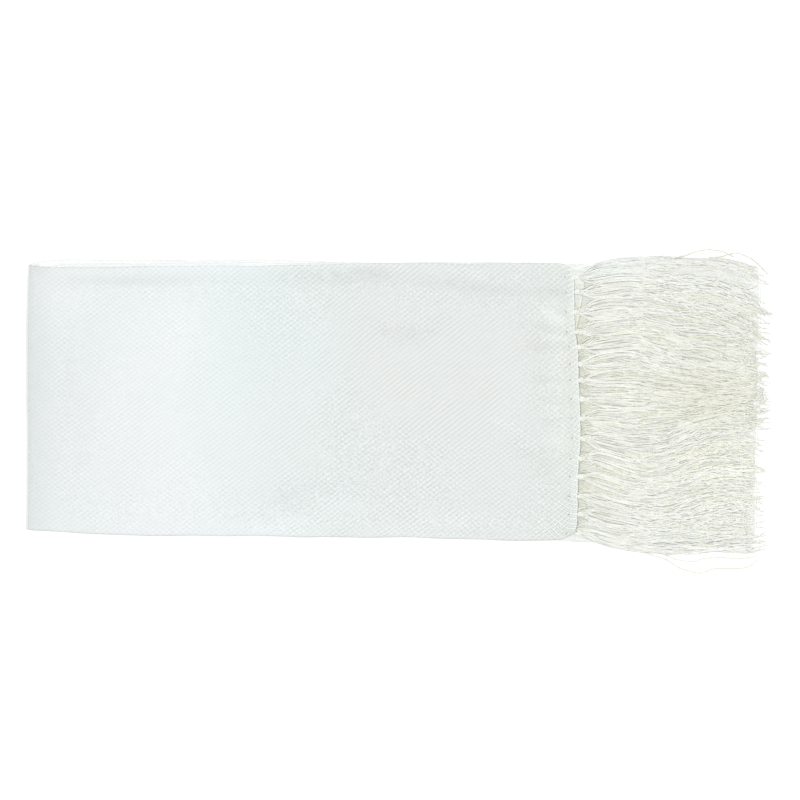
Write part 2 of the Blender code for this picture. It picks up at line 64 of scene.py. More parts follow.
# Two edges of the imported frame, and where the tables below have them
OUTER_FOLD_NOSE = -318.6
UNDER_FAR_EDGE = 128.5
SHIFT = np.array(
    [
        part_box("top_stretch")[0].x / MM - OUTER_FOLD_NOSE,
        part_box("under_stretch")[1].y / MM - UNDER_FAR_EDGE,
        0.0,
    ]
)

# Heights of the middle of each layer of cloth, from the floor up
BOTTOM_LEVEL = 0.64
UPPER_UNDER_LEVEL = 2.75
SECOND_LEVEL = 4.55
TOP_LEVEL = 6.35

# Folds: nose of the inner one, and how far each one's curve reaches back from its nose
INNER_FOLD_NOSE = -309.0
OUTER_REACH_ABOVE = 13.0
OUTER_REACH_BELOW = 6.0
INNER_REACH = 3.0
CENTRE_REACH = 3.6

# Hems: usual distance between two knots, how far the needle holes lie inside, how much the edge draws
# in at a knot, how far the fine stations reach, and the distance that stands for no hem near
KNOT_PITCH = 15.5
HOLE_BACK = 6.4
DRAWN_IN = 0.5
FINE_REACH = 26.0
NO_HEM = 99.0

# Middle of the picture
VIEW_MIDDLE = (-0.43, 9.36, 0.0)

# Fringe: where its span is shared out among the knots and where it's read for the tips, the middle
# that its yarns draw together to, the shares of its width that no yarn passes, how far the tips end
# before the centre fold at most, and the share of them that pass it
ROOTS_X, TIPS_X = 157.0, 300.0
GATHER_Y = 17.0
LEAST_SHARE, MOST_SHARE = 0.002, 0.998
SHORTEST_TIP = 24.0
LONG_TIPS = 0.17

# Long edges of each stretch: place along X, far side and near side
TOP_EDGES = (
    (-317, 123, -101.3), (-289.8, 122.5, -102.5), (-238.7, 122.5, -104.7), (-170.6, 123, -105.8),
    (-85.5, 124.2, -106.3), (0, 125.3, -107.1), (50.6, 125.5, -108.7), (118.7, 125.5, -109.6),
    (135.7, 125.1, -109.2), (141.5, 123.6, -107.4), (144.5, 121.5, -104.4), (150, 118.5, -101),
)
SECOND_EDGES = (
    (-310, 121.5, -98.5), (-300, 122, -99), (-286, 125.2, -99.7), (-170, 125.9, -103.5),
    (-85.5, 125.7, -104.5), (50, 125.9, -107), (140, 125.9, -107.5), (148, 124.5, -106.5),
    (156, 119, -103),
)
UNDER_EDGES = (
    (-319, 125.4, -99.5), (-312, 126.8, -100.5), (-296, 128.3, -100.9), (-222, 128.5, -102.5),
    (-106, 128.1, -104.6), (-65, 126.8, -105.4), (50, 126.1, -107.6), (118.7, 126.1, -109.8),
    (150, 125, -110.9), (212, 124.2, -112.3), (303, 122.5, -110.6),
)

# Ends of the stretches: place across Y and place along X
TOP_HEM = (
    (-104, 147), (-98, 149.7), (-80, 150.1), (-51, 150.6), (-24.7, 152.8), (9.4, 151.9), (30.6, 151),
    (52, 150.6), (60, 149.2), (68, 147.9), (77.4, 147.5), (111.5, 147.2), (120, 145.4),
)
SECOND_HEM = (
    (-105.5, 143.4), (-50, 145.1), (9.4, 146), (60, 147.7), (75.7, 150.9), (80.8, 151.9), (89.4, 153),
    (98.7, 154.3), (104, 155.3), (110, 155.9), (120, 154),
)
CENTRE_FOLD = (
    (-110.6, 302.6), (-25, 303.4), (0, 305), (60, 305.8), (104, 306.4), (122.5, 305.4),
)
# How far the nose of the outer fold leans in: place across Y and distance
OUTER_FOLD_BOW = (
    (-101, 0), (-80, 0.4), (-20, 0.5), (20, 0.1), (70, 0.1), (100, 0.8), (123, 1.6),
)

# Knots along each hem: places across Y, and how far the first end's are from their hem
TOP_KNOTS = np.array([
    -104, -87.8, -72.5, -55.8, -40.5, -23, -6, 10.2, 26.4, 40, 54.5, 67.2, 84.2, 101, 113.9,
])
TOP_KNOTS_OUT = (
    4.6, 3.3, 3.3, 3, 3, 3, 3, 3, 3, 3, 3, 3.2, 2.7, 3.5, 2.8,
)
SECOND_KNOTS = np.array([
    -102.6, -88, -73.1, -55.1, -41.2, -22.4, -6.8, 10.9, 25.6, 40.6, 53.9, 72.6, 86.8, 99.6, 113.2,
])

# Where the dense part of the fringe reaches: place along X, far side and near side
FRINGE_SIDES = (
    (150, 121, -107), (157, 124.4, -108.6), (163, 126.2, -111), (170, 127.8, -113.4),
    (180, 129.2, -116.2), (195, 130.5, -118.6), (211, 131, -120.4), (235, 131, -121.8),
    (264, 131, -122), (287, 128, -121.5), (306, 121.5, -121), (318, 117, -120.5),
)
# Loose yarns outside it: places along X and across Y
LOOSE_YARNS = (
    (
        (214, 124.5), (228, 128.5), (241, 132), (252.5, 135.8), (262.5, 137.2), (273.5, 135.6),
        (280, 132.8), (283.4, 131.2),
    ),
    (
        (262, 130.2), (274, 131.6), (284, 134.4), (293, 132.2), (301, 127.4), (307.5, 121),
        (312.5, 116),
    ),
    (
        (190, -114.5), (205, -119), (220, -120.6), (235, -126.4), (250.5, -128), (257, -125.6),
        (272, -124.8), (287, -125.6), (302.5, -124),
    ),
    (
        (196, -117), (212, -122), (226, -126.4), (235, -132.4), (245.8, -136.2), (256.5, -137.9),
        (264, -134.8), (275, -134), (287.2, -134), (296.4, -132.4), (304.8, -126.4),
    ),
)
# Short free ends that lie on the pile: places along X and across Y
STRAY_ENDS = (
    ((178, 67), (188, 71), (197, 73.6), (203, 72.2), (206.5, 67.5), (211, 65)),
    ((170, 50), (181, 49), (190, 47.2), (195, 48.6), (199, 46.4)),
    ((206, -70), (224, -71), (238, -73.4), (244.2, -74.4), (245.8, -78), (246.4, -85)),
    ((246, -78), (262, -80), (276, -78.8), (283.4, -81), (286, -84.4), (289.6, -86.6)),
    ((268, 44), (281, 41), (290, 38.6), (292.4, 35.6), (292.6, 31.4)),
    ((180, -98), (196, -101), (208, -99.6), (213, -102.4), (211, -105.4)),
    ((196, -92), (212, -94.4), (222, -92.4), (229, -95.4), (236, -94)),
    ((214, 96), (228, 92), (240, 93.4), (247, 90), (249, 85.4)),
    ((232, 8), (246, 3), (256, -0.6), (262, 1.6), (266, -1.4)),
    ((204, 20), (218, 24.4), (228, 23), (233.6, 25.8), (238, 23.6)),
    ((268, 100), (279, 102), (288, 104.6), (296, 104), (302, 106.4)),
    ((266, 107), (278, 106), (288, 102.4), (296, 100.4), (301, 97.4)),
    ((268, -13), (280, -15.4), (289, -17.8), (297, -16.6), (302, -18.8)),
    ((266, -25), (278, -23), (288, -20), (295, -20.6), (301, -22.6)),
)
# Yarns that come out from under the far corner: how many, where they start along X, from where to
# where across Y, and the shares of the fringe's width that they end in
CORNER_YARNS = 20
CORNER_X = 141.5
CORNER_Y = (113.5, 123.7)
CORNER_SHARES = (0.93, 0.998)

# Soft creases of the top stretch: both ends, half width, height, sideways bow of the middle, and
# how much the cloth is painted brighter along it, as painted light and shade
CREASES = (
    # Wide swells
    ((-247.2, 56.2), (-153.6, 94.5), 32.3, 0.25, 0, 0.01),
    ((-298.3, 115.7), (-293.2, -126.8), 23.8, -0.25, 0, -0.04),
    ((-47.2, -43.4), (52.3, -37.4), 30.6, -0.4, 0, -0.016),
    ((-60, 68.9), (-47.2, -92.8), 18.7, -0.2, 0, -0.01),
    ((88.9, 94.5), (91.5, -50.2), 17, 0.25, 2.6, 0.016),
    ((128.9, -24), (129.8, -101.3), 7.7, -0.1, 0, -0.016),
    # Faint bands of painted light and shade beside the swells, with little or no height
    ((136, 124), (136, -90), 11, 0.05, 0, 0.042),
    ((-272, 118), (-272, -112), 24, 0, 0, -0.026),
    ((-180, 128), (-162, -30), 40, 0, 0, 0.02),
    ((-238, -5), (-232, -98), 21, 0, 0, -0.018),
    ((-70, 105), (-72, -85), 27, 0, 0, 0.018),
    # Painted light strips along both sides, with no height
    ((-168, -101), (-4, -101), 9, 0, 0, 0.06),
    ((-230, 114), (-30, 114), 11, 0, 0, 0.03),
    ((-46, -101), (118, -103), 8, 0, 0, 0.028),
    # Long trough along the far side, which runs on to the hem
    ((-310.2, 110.6), (-128.1, 111.5), 5.1, -0.4, 0, -0.078),
    ((-140.8, 111.5), (1.3, 114.9), 6.4, -0.75, 0.9, -0.07),
    ((-43, 116.6), (-2.1, 119.1), 6.8, -0.4, 0, -0.05),
    ((-13.2, 114.9), (142.5, 97.9), 4.7, -0.65, -0.9, -0.06),
    ((111.9, 104.7), (145.9, 100.4), 5.1, -0.4, 0, -0.066),
    ((33.6, 120.8), (101.7, 113.2), 4.3, 0.45, 0, 0.016),
    ((-323.8, 121.7), (-289.8, 118.3), 7.7, -0.2, 0, -0.04),
    # Bent trough above the middle, and a sharp ridge with its trough towards the near corner
    ((-26, 76.6), (40.4, 78.3), 6.8, -0.6, -12.8, -0.058),
    ((71.1, -5.1), (110.2, -20.4), 2.6, 0.55, 0, 0.04),
    ((84.7, -17.9), (139.1, -55.3), 6.8, -0.55, 0, -0.028),
    # Short pulls at the hem
    ((117, 89.4), (147.6, 70.6), 4.3, 0.6, 0, 0.075),
    ((103.4, 73.2), (137.4, 68.9), 2.6, -0.5, 0, -0.055),
    ((120.4, 63.8), (148.5, 60.4), 3, 0.45, 0, 0.055),
    ((101.7, 54.5), (142.5, 54.5), 4.3, -0.55, 0, -0.06),
    ((108.5, 24.7), (144.2, 25.5), 3.4, -0.45, 0.9, -0.046),
    ((115.3, 8.5), (145.9, 9.4), 3.4, -0.4, 0, -0.04),
    ((114.5, -9.4), (144.2, -8.5), 3.4, -0.4, 0, -0.042),
    ((115.3, -26.4), (149.4, -25.5), 3.8, 0.45, 0, 0.036),
    ((118.7, -43.4), (145.9, -43.4), 3.4, -0.3, 0, -0.026),
    # Pulls along the near side
    ((-114.5, -77.4), (-73.6, -67.2), 8.5, -0.45, 0, -0.044),
    ((-105.9, -93.6), (-71.9, -91.9), 5.1, 0.4, 0, 0.034),
    ((-85.5, -85.1), (-7.2, -85.1), 7.7, 0.45, 2.6, 0.036),
    ((-0.4, -92.8), (84.7, -93.6), 6.8, 0.35, 0, 0.024),
    ((-88.9, -102.1), (-26, -103), 4.3, -0.4, 0, -0.03),
    ((13.2, -102.1), (101.7, -104.7), 5.1, -0.4, 0, -0.02),
    # Soft dents by the outer fold
    ((-277.9, -41.7), (-259.1, -40), 6.8, -0.25, 0, -0.018),
    ((-289.8, 34.9), (-272.7, 33.2), 11.9, -0.2, 0, -0.016),
)


def read(table, place, column=1):
    """A table's value at places, straight between its rows."""
    rows = np.array(table, float)
    return np.interp(place, rows[:, 0], rows[:, column])


def soft_read(table, place, column=1, reach=9.0):
    """A table's value with its corners rounded: the mean of nine readings within the reach."""
    return sum(read(table, place + reach * k / 4, column) for k in range(-4, 5)) / 9


def smooth(value, low, high):
    """0 below low, 1 above high, and 3 s^2 - 2 s^3 of the share s between."""
    share = np.clip((value - low) / (high - low), 0.0, 1.0)
    return share * share * (3 - 2 * share)


def fading(value, reach, power=2):
    """1 at 0, falling as e^-(value/reach)^power."""
    return np.exp(-((value / reach) ** power))


def hump(x, low, high):
    """0 outside, and the square of a sine between the two places."""
    return np.sin(np.pi * np.clip((x - low) / (high - low), 0.0, 1.0)) ** 2


def unit(vectors):
    """Vectors divided by their own lengths."""
    return vectors / np.maximum(np.linalg.norm(vectors, axis=-1, keepdims=True), 1e-12)


def stacked(x, y, z):
    """Three grids of one shape as one grid of points."""
    return np.stack(np.broadcast_arrays(x, y, z), axis=-1)


def ring_corners(rings, size):
    """For each point of all rings but the last: its own number, and that of the next on its ring."""
    first = np.arange(rings - 1)[:, None] * size
    k = np.arange(size)
    return (first + k).reshape(-1), (first + (k + 1) % size).reshape(-1)


def give_numbers(mesh, word, values):
    """One number for each point, which a material reads under the word."""
    held = mesh.attributes.new(word, "FLOAT", "POINT")
    held.data.foreach_set("value", np.ascontiguousarray(values, np.float32).ravel())


def give_uvs(mesh, word, uvs):
    """One UV pair for each corner of a face."""
    layer = mesh.uv_layers.new(name=word)
    layer.data.foreach_set("uv", uvs.astype(np.float32).ravel())


class Skin:
    """Collects grids of points and their faces, and makes one mesh of them."""

    def __init__(self):
        self.points, self.uvs, self.tints = [], [], []
        self.corners, self.sizes = [], []
        self.count = 0

    def add(self, points, uvs, tint, faces):
        """Points with one UV pair and one tint each, and faces as arrays of corners of one size."""
        pairs = points.shape[:-1] + (2,)
        self.points.append(points.reshape(-1, 3))
        self.uvs.append(np.broadcast_to(uvs, pairs).reshape(-1, 2))
        self.tints.append(np.broadcast_to(tint, pairs).reshape(-1, 2))
        for group in faces:
            self.corners.append((group + self.count).reshape(-1))
            self.sizes.append(np.full(len(group), group.shape[1]))
        self.count += points.size // 3

    def tube(self, paths, radii, sides, tint, pitch=7.0, oval=0.12, turn=0.0, guide=(0, 0, 1)):
        """Closed tubes round paths: at each point a ring of sides, whose radius swells by the oval share
        twice a turn, where the swelling itself turns once in a pitch as two twisted plies do.

        paths has one row of points for each tube, and radii one row of radii. The UV counts turns round
        the tube, and millimetres along it.
        """
        number, stations = paths.shape[:2]
        tangent = unit(np.gradient(paths, axis=1))
        side = unit(np.cross(tangent, np.array(guide, float)))
        up = np.cross(side, tangent)
        steps = np.linalg.norm(np.diff(paths, axis=1), axis=2)
        along = np.concatenate([np.zeros((number, 1)), np.cumsum(steps, axis=1)], axis=1)
        angle = 2 * np.pi * np.arange(sides) / sides
        twist = 2 * np.pi * along[..., None] / pitch + np.reshape(turn, (-1, 1, 1))
        swell = radii[..., None] * (1 + oval * np.cos(2 * angle - twist))
        ring = swell[..., None] * (
            np.cos(angle)[:, None] * side[:, :, None] + np.sin(angle)[:, None] * up[:, :, None]
        )
        grid = paths[:, :, None] + ring
        middles = paths[:, [0, -1]] + tangent[:, [0, -1]] * radii[:, [0, -1], None] * [[[-0.5], [0.5]]]
        round_it = np.broadcast_to(np.arange(sides) / sides, swell.shape)
        uvs = np.stack([round_it, np.broadcast_to(along[..., None], swell.shape)], axis=-1)
        cap_uvs = np.stack([np.zeros((number, 2)), along[:, [0, -1]]], axis=-1)
        here, beside = ring_corners(stations, sides)
        quads = np.stack([here, here + sides, beside + sides, beside], axis=1)
        last = (stations - 1) * sides
        size = last + sides + 2
        k = np.arange(sides)
        after = (k + 1) % sides
        low = np.stack([np.full(sides, size - 2), k, after], axis=1)
        high = np.stack([np.full(sides, size - 1), last + after, last + k], axis=1)
        first = np.arange(number)[:, None, None] * size
        faces = [
            (first + quads).reshape(-1, 4),
            (first + np.concatenate([low, high])).reshape(-1, 3),
        ]
        self.add(
            np.concatenate([grid.reshape(number, -1, 3), middles], axis=1),
            np.concatenate([uvs.reshape(number, -1, 2), cap_uvs], axis=1),
            np.reshape(np.broadcast_to(tint, (number, 2)), (number, 1, 2)),
            faces,
        )

    def piece(self, name, finish, seam=None):
        """One object at the origin from all that was added. The UV of a face that closes a ring is
        lifted by the seam's span, so that the pattern runs on."""
        mesh = bpy.data.meshes.new(name)
        points = (np.concatenate(self.points) + SHIFT) * MM
        corners = np.concatenate(self.corners).astype(np.int32)
        sizes = np.concatenate(self.sizes)
        mesh.vertices.add(len(points))
        mesh.vertices.foreach_set("co", points.astype(np.float32).ravel())
        mesh.loops.add(len(corners))
        mesh.loops.foreach_set("vertex_index", corners)
        mesh.polygons.add(len(sizes))
        starts = np.concatenate([[0], np.cumsum(sizes)[:-1]]).astype(np.int32)
        mesh.polygons.foreach_set("loop_start", starts)
        mesh.update(calc_edges=True)
        uvs = np.concatenate(self.uvs)[corners]
        if seam is not None:
            column, span = seam
            face = np.repeat(np.arange(len(sizes)), sizes)
            high = np.full(len(sizes), -np.inf)
            np.maximum.at(high, face, uvs[:, column])
            uvs[:, column] += np.where(high[face] - uvs[:, column] > span / 2, span, 0.0)
        give_uvs(mesh, "lay", uvs)
        tints = np.concatenate(self.tints)
        give_numbers(mesh, "tint", tints[:, 0])
        give_numbers(mesh, "depth", tints[:, 1])
        mesh.polygons.foreach_set("use_smooth", np.ones(len(sizes), bool))
        mesh.materials.append(finish)
        mesh.validate(clean_customdata=False)
        made = bpy.data.objects.new(name, mesh)
        bpy.context.scene.collection.objects.link(made)
        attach(made, "root")
        return made


def operation(word, reflected=False):
    """A method of Wire that adds one Math node, with the wire's own value first or last."""

    def method(self, *values):
        ordered = (*values, self) if reflected else (self, *values)
        return self.sheet.node("ShaderNodeMath", {"operation": word}, *ordered)

    return method


class Wire:
    """A shader socket that takes part in arithmetic. Each operation adds one Math node."""

    def __init__(self, sheet, socket):
        self.sheet, self.socket = sheet, socket

    __add__ = __radd__ = operation("ADD")
    __sub__ = operation("SUBTRACT")
    __rsub__ = operation("SUBTRACT", reflected=True)
    __mul__ = __rmul__ = operation("MULTIPLY")
    __truediv__ = operation("DIVIDE")
    fraction = operation("FRACT")
    size = operation("ABSOLUTE")
    least = operation("MINIMUM")
    most = operation("MAXIMUM")
    power = operation("POWER")
    sine = operation("SINE")

    def ramp(self, low, high, to_low=0.0, to_high=1.0):
        """A soft S from one value to the other while the wire goes from low to high."""
        settings = {"interpolation_type": "SMOOTHSTEP"}
        return self.sheet.node("ShaderNodeMapRange", settings, self, low, high, to_low, to_high)

    def off_whole(self):
        """Half at a whole number and 0 halfway between two."""
        return (self.fraction() - 0.5).size()


class Finish:
    """A material with one Principled shader, whose nodes come from one method."""

    def __init__(self, name):
        self.material = bpy.data.materials.new(name)
        self.material.use_nodes = True
        self.tree = self.material.node_tree
        self.shader = self.tree.nodes["Principled BSDF"]

    def node(self, kind, settings, *values, out=0, **named):
        """A node with its settings, and values or wires for its sockets by place or by name."""
        made = self.tree.nodes.new(kind)
        for word, value in settings.items():
            setattr(made, word, value)
        for key, value in list(enumerate(values)) + list(named.items()):
            self.put(made.inputs[key], value)
        return Wire(self, made.outputs[out])

    def put(self, socket, value):
        if isinstance(value, Wire):
            self.tree.links.new(value.socket, socket)
        else:
            socket.default_value = value

    def place(self):
        """Object coordinates, in metres."""
        return self.node("ShaderNodeTexCoord", {}, out=3)

    def uv(self, word):
        """The two numbers of a UV map."""
        return self.parts(self.node("ShaderNodeUVMap", {"uv_map": word}))[:2]

    def held(self, word):
        """The number that the mesh holds under a word."""
        return self.node("ShaderNodeAttribute", {"attribute_name": word}, out=2)

    def parts(self, wire):
        """The three numbers of a vector."""
        split = self.node("ShaderNodeSeparateXYZ", {}, wire).socket.node
        return [Wire(self, socket) for socket in split.outputs]

    def noise(self, place, scale, detail=2.0, rough=0.5):
        return self.node(
            "ShaderNodeTexNoise", {}, Vector=place, Scale=scale, Detail=detail, Roughness=rough
        )

    def blend(self, factor, first, second, way="MIX"):
        """A colour between two colours."""
        made = self.tree.nodes.new("ShaderNodeMix")
        made.data_type = "RGBA"
        made.blend_type = way
        self.put(made.inputs["Factor"], factor)
        colours = [socket for socket in made.inputs if socket.type == "RGBA"]
        for socket, value in zip(colours, (first, second)):
            self.put(socket, value if isinstance(value, Wire) else (*value, 1.0))
        return Wire(self, [socket for socket in made.outputs if socket.type == "RGBA"][0])

    def scale(self, colour, factor):
        """A colour times one number."""
        return self.node("ShaderNodeVectorMath", {"operation": "SCALE"}, colour, Scale=factor)

    def constant(self, **values):
        for word, value in values.items():
            self.shader.inputs[word.replace("_", " ")].default_value = value

    def feed(self, colour, roughness, height, strength, distance):
        """Colour, roughness and a bump of the height on the shader."""
        self.put(self.shader.inputs["Base Color"], colour)
        self.put(self.shader.inputs["Roughness"], roughness)
        bump = self.node("ShaderNodeBump", {}, Strength=strength, Distance=distance, Height=height)
        self.put(self.shader.inputs["Normal"], bump)
        return self.material


def scaled(colour, share):
    """A colour times a share, with no channel over 1."""
    return tuple(min(channel * share, 1.0) for channel in colour)


def cloth_finish(look):
    """Silk-like cloth with small woven diamonds, each with an eye, and fine threads both ways.

    The lattice is |fract(p + q) - 1/2| and |fract(p - q) - 1/2| of the places p and q counted in
    diamonds: 0 on a rising or a falling line. Washes of colour, some of them painted light and shade,
    lie along east and north, the places in metres along and across the frame.
    """
    finish = Finish("diamond_weave_cloth")
    place = finish.place()
    along, across = finish.uv("lay")
    # The lattice drifts, so that its lines aren't ruled
    drift = finish.noise(place, 11.0, 1.0) - 0.5
    slip = finish.noise(place, 8.0, 1.0) - 0.5
    p = along / (look.diamond_length / MM) + drift * 0.6
    q = across / (look.diamond_width / MM) + slip * 0.5
    rising = (p + q).off_whole()
    falling = (p - q).off_whole()
    east, north, _ = finish.parts(place)
    from_fold = east.ramp(-0.19, -0.04)
    fallen = (1.0 - falling.ramp(0.0, 0.10)) * slip.ramp(-0.15, 0.15, 0.75, 0.95)
    net = (1.0 - rising.ramp(0.0, 0.11)).most(fallen * (1.0 - from_fold * 0.24))
    cell = rising.least(falling).ramp(0.15, 0.45)
    turns = 2 * math.pi * MM / look.thread_pitch
    thread = (along * turns).sine() * (across * turns).sine()
    double = 4 * math.pi
    between = ((p - q) * double + math.pi / 2).sine()
    eyes = (p * double + math.pi / 2).sine()
    worn = finish.noise(place, 120.0, 3.0, 0.6)
    # Needle holes and the rolled rim, from the count of knots and the distance from the hem: painted
    # shade in the holes, a painted highlight on the rim
    knot, inside = finish.uv("hem")
    sideways = ((knot + 0.5).fraction() - 0.5) * KNOT_PITCH
    back = inside - HOLE_BACK
    hole = 1.0 - (sideways * sideways + back * back).power(0.5).ramp(0.35, 0.85)
    rim = 1.0 - inside.ramp(0.2, 1.1)
    # From the mesh: the bare outer fold, the layers below, and the painted light and shade of creases,
    # edges and folds
    thin, under, painted_light = finish.held("depth"), finish.held("tint"), finish.held("painted_light")
    # Washes of colour on the top stretch: painted shade that darkens it towards the hem, clouds and
    # tints
    clouds = finish.noise(place, 7.0, 2.0, 0.55).ramp(0.35, 0.65) * 0.5
    mint = east.ramp(-0.20, -0.13) * (1.0 - east.ramp(-0.06, -0.01))
    colour = finish.blend(from_fold, look.cloth_colour, look.cloth_near_hem_shaded)
    colour = finish.blend(clouds, colour, look.cloth_shade)
    colour = finish.blend(mint, colour, (0.976, 0.999, 1.0), "MULTIPLY")
    colour = finish.blend(east.ramp(0.10, 0.15), colour, (1.0, 1.0, 0.964), "MULTIPLY")
    # Layers below it: where they lie open, a brighter white that paints the light on their edges and
    # folds; where the fringe covers them, painted shade of the yarns, grey or golden
    warm = finish.noise(place, 55.0, 2.0).ramp(0.4, 0.6).most(1.0 - east.ramp(0.152, 0.162))
    warm = warm * (1.0 - north.ramp(0.086, 0.100)) * north.ramp(-0.102, -0.094)
    shaded = finish.blend(warm, look.shaded_colour, look.golden_shade_colour)
    # Painted shadow of the hem, darkest right beside it
    shaded = finish.scale(shaded, east.ramp(0.149, 0.160, 0.92, 1.0))
    fringe_shade_share = east.ramp(0.135, 0.150) * (1.0 - east.ramp(0.286, 0.299) * 0.9)
    fringe_shade_share = fringe_shade_share * (1.0 - (north - 0.002).size().ramp(0.104, 0.112) * 0.6)
    lower = finish.blend(fringe_shade_share, look.under_lit_colour, shaded)
    colour = finish.blend(under * 0.85, colour, lower)
    # Light and shade of the weave, clearer towards the hem and fainter on the layers below
    clearer = 0.68 + from_fold * 0.42
    tension = finish.noise(place, 42.0, 2.0, 0.6).ramp(0.3, 0.7, 0.6, 1.25) * (1.0 - thin * 0.5)
    relief = net * 0.220 - cell * 0.035 - 0.043 + between * 0.050 + eyes * 0.015
    relief = relief * (1.0 - under * 0.75) * tension * clearer
    grain = finish.noise(place, 1150.0, 1.0) - 0.5
    shade = relief + grain * 0.62 * clearer + 1.003 - worn.ramp(0.3, 0.7) * 0.02
    # Painted shade over the bare outer fold, and a painted highlight on the hem's rolled rim
    shade = shade * (1.0 - thin * 0.07) * (1.0 + rim * 0.16) * (1.0 + painted_light)
    # The needle holes are painted dark as the shade inside them
    colour = finish.blend(hole * 0.75, finish.scale(colour, shade), look.hole_shade_colour)
    rough = 0.56 - net * 0.10 + cell * 0.10 + (worn - 0.5) * 0.08
    height = (net - cell * 0.7) * 0.55 + thread * 0.08 + worn * 0.18 - hole * 1.8 + rim * 0.3
    finish.constant(Sheen_Weight=0.12, Sheen_Roughness=0.4, Specular_IOR_Level=0.45)
    return finish.feed(colour, rough, height, 0.5, 0.16 * MM)


def yarn_finish(name, look, pale, deep, root):
    """Two-ply twisted yarn: a groove where twice the turns round it, less twice the twists along it, is
    a whole number.

    depth is 0 on top of the pile, nears 1 deep in it, and is 2 on a loose yarn. The colour deep in the
    pile is painted golden shade. Washes of colour lie along east and north, the places in metres along
    and across the frame. root is the share and the colour of the wash by the hem, painted shade on the
    second end.
    """
    finish = Finish(name)
    place = finish.place()
    round_it, along = finish.uv("lay")
    tint, depth = finish.held("tint"), finish.held("depth")
    east, north, _ = finish.parts(place)
    turn = round_it * 2.0 - along / (look.twist_pitch / MM) * 2.0
    groove = 1.0 - (turn.off_whole() * 2.0).power(4.0)
    strands = finish.node("ShaderNodeCombineXYZ", {}, round_it * 6.0, along * 0.9, tint * 31.0)
    fibre = finish.noise(strands, 2.2, 3.0, 0.65)
    fuzz = finish.noise(place, 900.0, 2.0, 0.6)
    # Painted golden shade deep in the pile and in the grooves between the plies, and paler fibres
    colour = finish.blend(depth.ramp(0.1, 1.0) * 0.9, pale, deep)
    colour = finish.blend(groove.ramp(0.2, 0.9) * -0.12 + 0.12, colour, scaled(deep, 0.9))
    colour = finish.blend(fibre.ramp(0.3, 0.75) * 0.12, colour, scaled(pale, 1.08))
    # Painted golden shade on the deep yarns near the tips
    near_tips = east.ramp(0.20, 0.27) * (1.0 - depth.ramp(1.0, 1.3))
    colour = finish.blend(near_tips * depth.ramp(0.15, 0.7) * 0.5, colour, look.golden_shade_colour)
    colour = finish.blend(depth.ramp(1.0, 2.0), colour, scaled(deep, 0.69))
    colour = finish.blend(tint.ramp(-1.0, 1.0) * 0.2, colour, scaled(deep, 0.91))
    # Painted golden shade where the yarns gather near the tips, the wash by the hem (painted shade on
    # the second end, paler on the first), pale far corner and cleaner sides
    aside = (east - 0.264) * 0.6
    off = north - 0.012
    golden = 1.0 - (aside * aside + off * off).power(0.5).ramp(0.004, 0.040)
    colour = finish.blend(golden * 0.45, colour, look.golden_shade_colour)
    by_hem = (1.0 - east.ramp(0.151, 0.170)) * (1.0 - north.ramp(0.106, 0.116))
    colour = finish.blend(by_hem * root[0], colour, root[1])
    corner = (1.0 - east.ramp(0.175, 0.235)) * north.ramp(0.110, 0.120)
    colour = finish.blend(corner * 0.8, colour, look.corner_colour)
    tips = east.ramp(0.225, 0.265) * north.ramp(-0.040, 0.000, -0.040, 0.020)
    near_knots = (1.0 - east.ramp(0.190, 0.220)) * 0.010
    colour = finish.scale(colour, 1.0 - tips + near_knots)
    sides = (north - 0.008).size().ramp(0.06, 0.118) * (0.5 - depth.ramp(0.2, 0.9) * 0.3)
    colour = finish.blend(sides, colour, look.side_colour)
    rough = 0.66 + (fuzz - 0.5) * 0.2
    height = groove * 0.8 + fibre * 0.5 + fuzz * 0.25
    finish.constant(Sheen_Weight=0.45, Sheen_Roughness=0.5, Specular_IOR_Level=0.3)
    finish.constant(Subsurface_Weight=0.3, Subsurface_Radius=(1.0, 0.96, 0.86))
    finish.constant(Subsurface_Scale=2.0 * MM)
    return finish.feed(colour, rough, height, 0.35, 0.18 * MM)


def length_prop(name, words, default):
    return bpy.props.FloatProperty(
        name=name, description=words, default=default, unit="LENGTH", precision=5
    )


def colour_prop(name, words, *default):
    return bpy.props.FloatVectorProperty(
        name=name, description=words, default=default, subtype="COLOR", size=3, min=0, max=1
    )


def count_prop(name, words, default, least=0, most=40):
    return bpy.props.IntProperty(name=name, description=words, default=default, min=least, max=most)


def power_prop(name, words, default):
    return bpy.props.FloatProperty(name=name, description=words, default=default, unit="POWER")


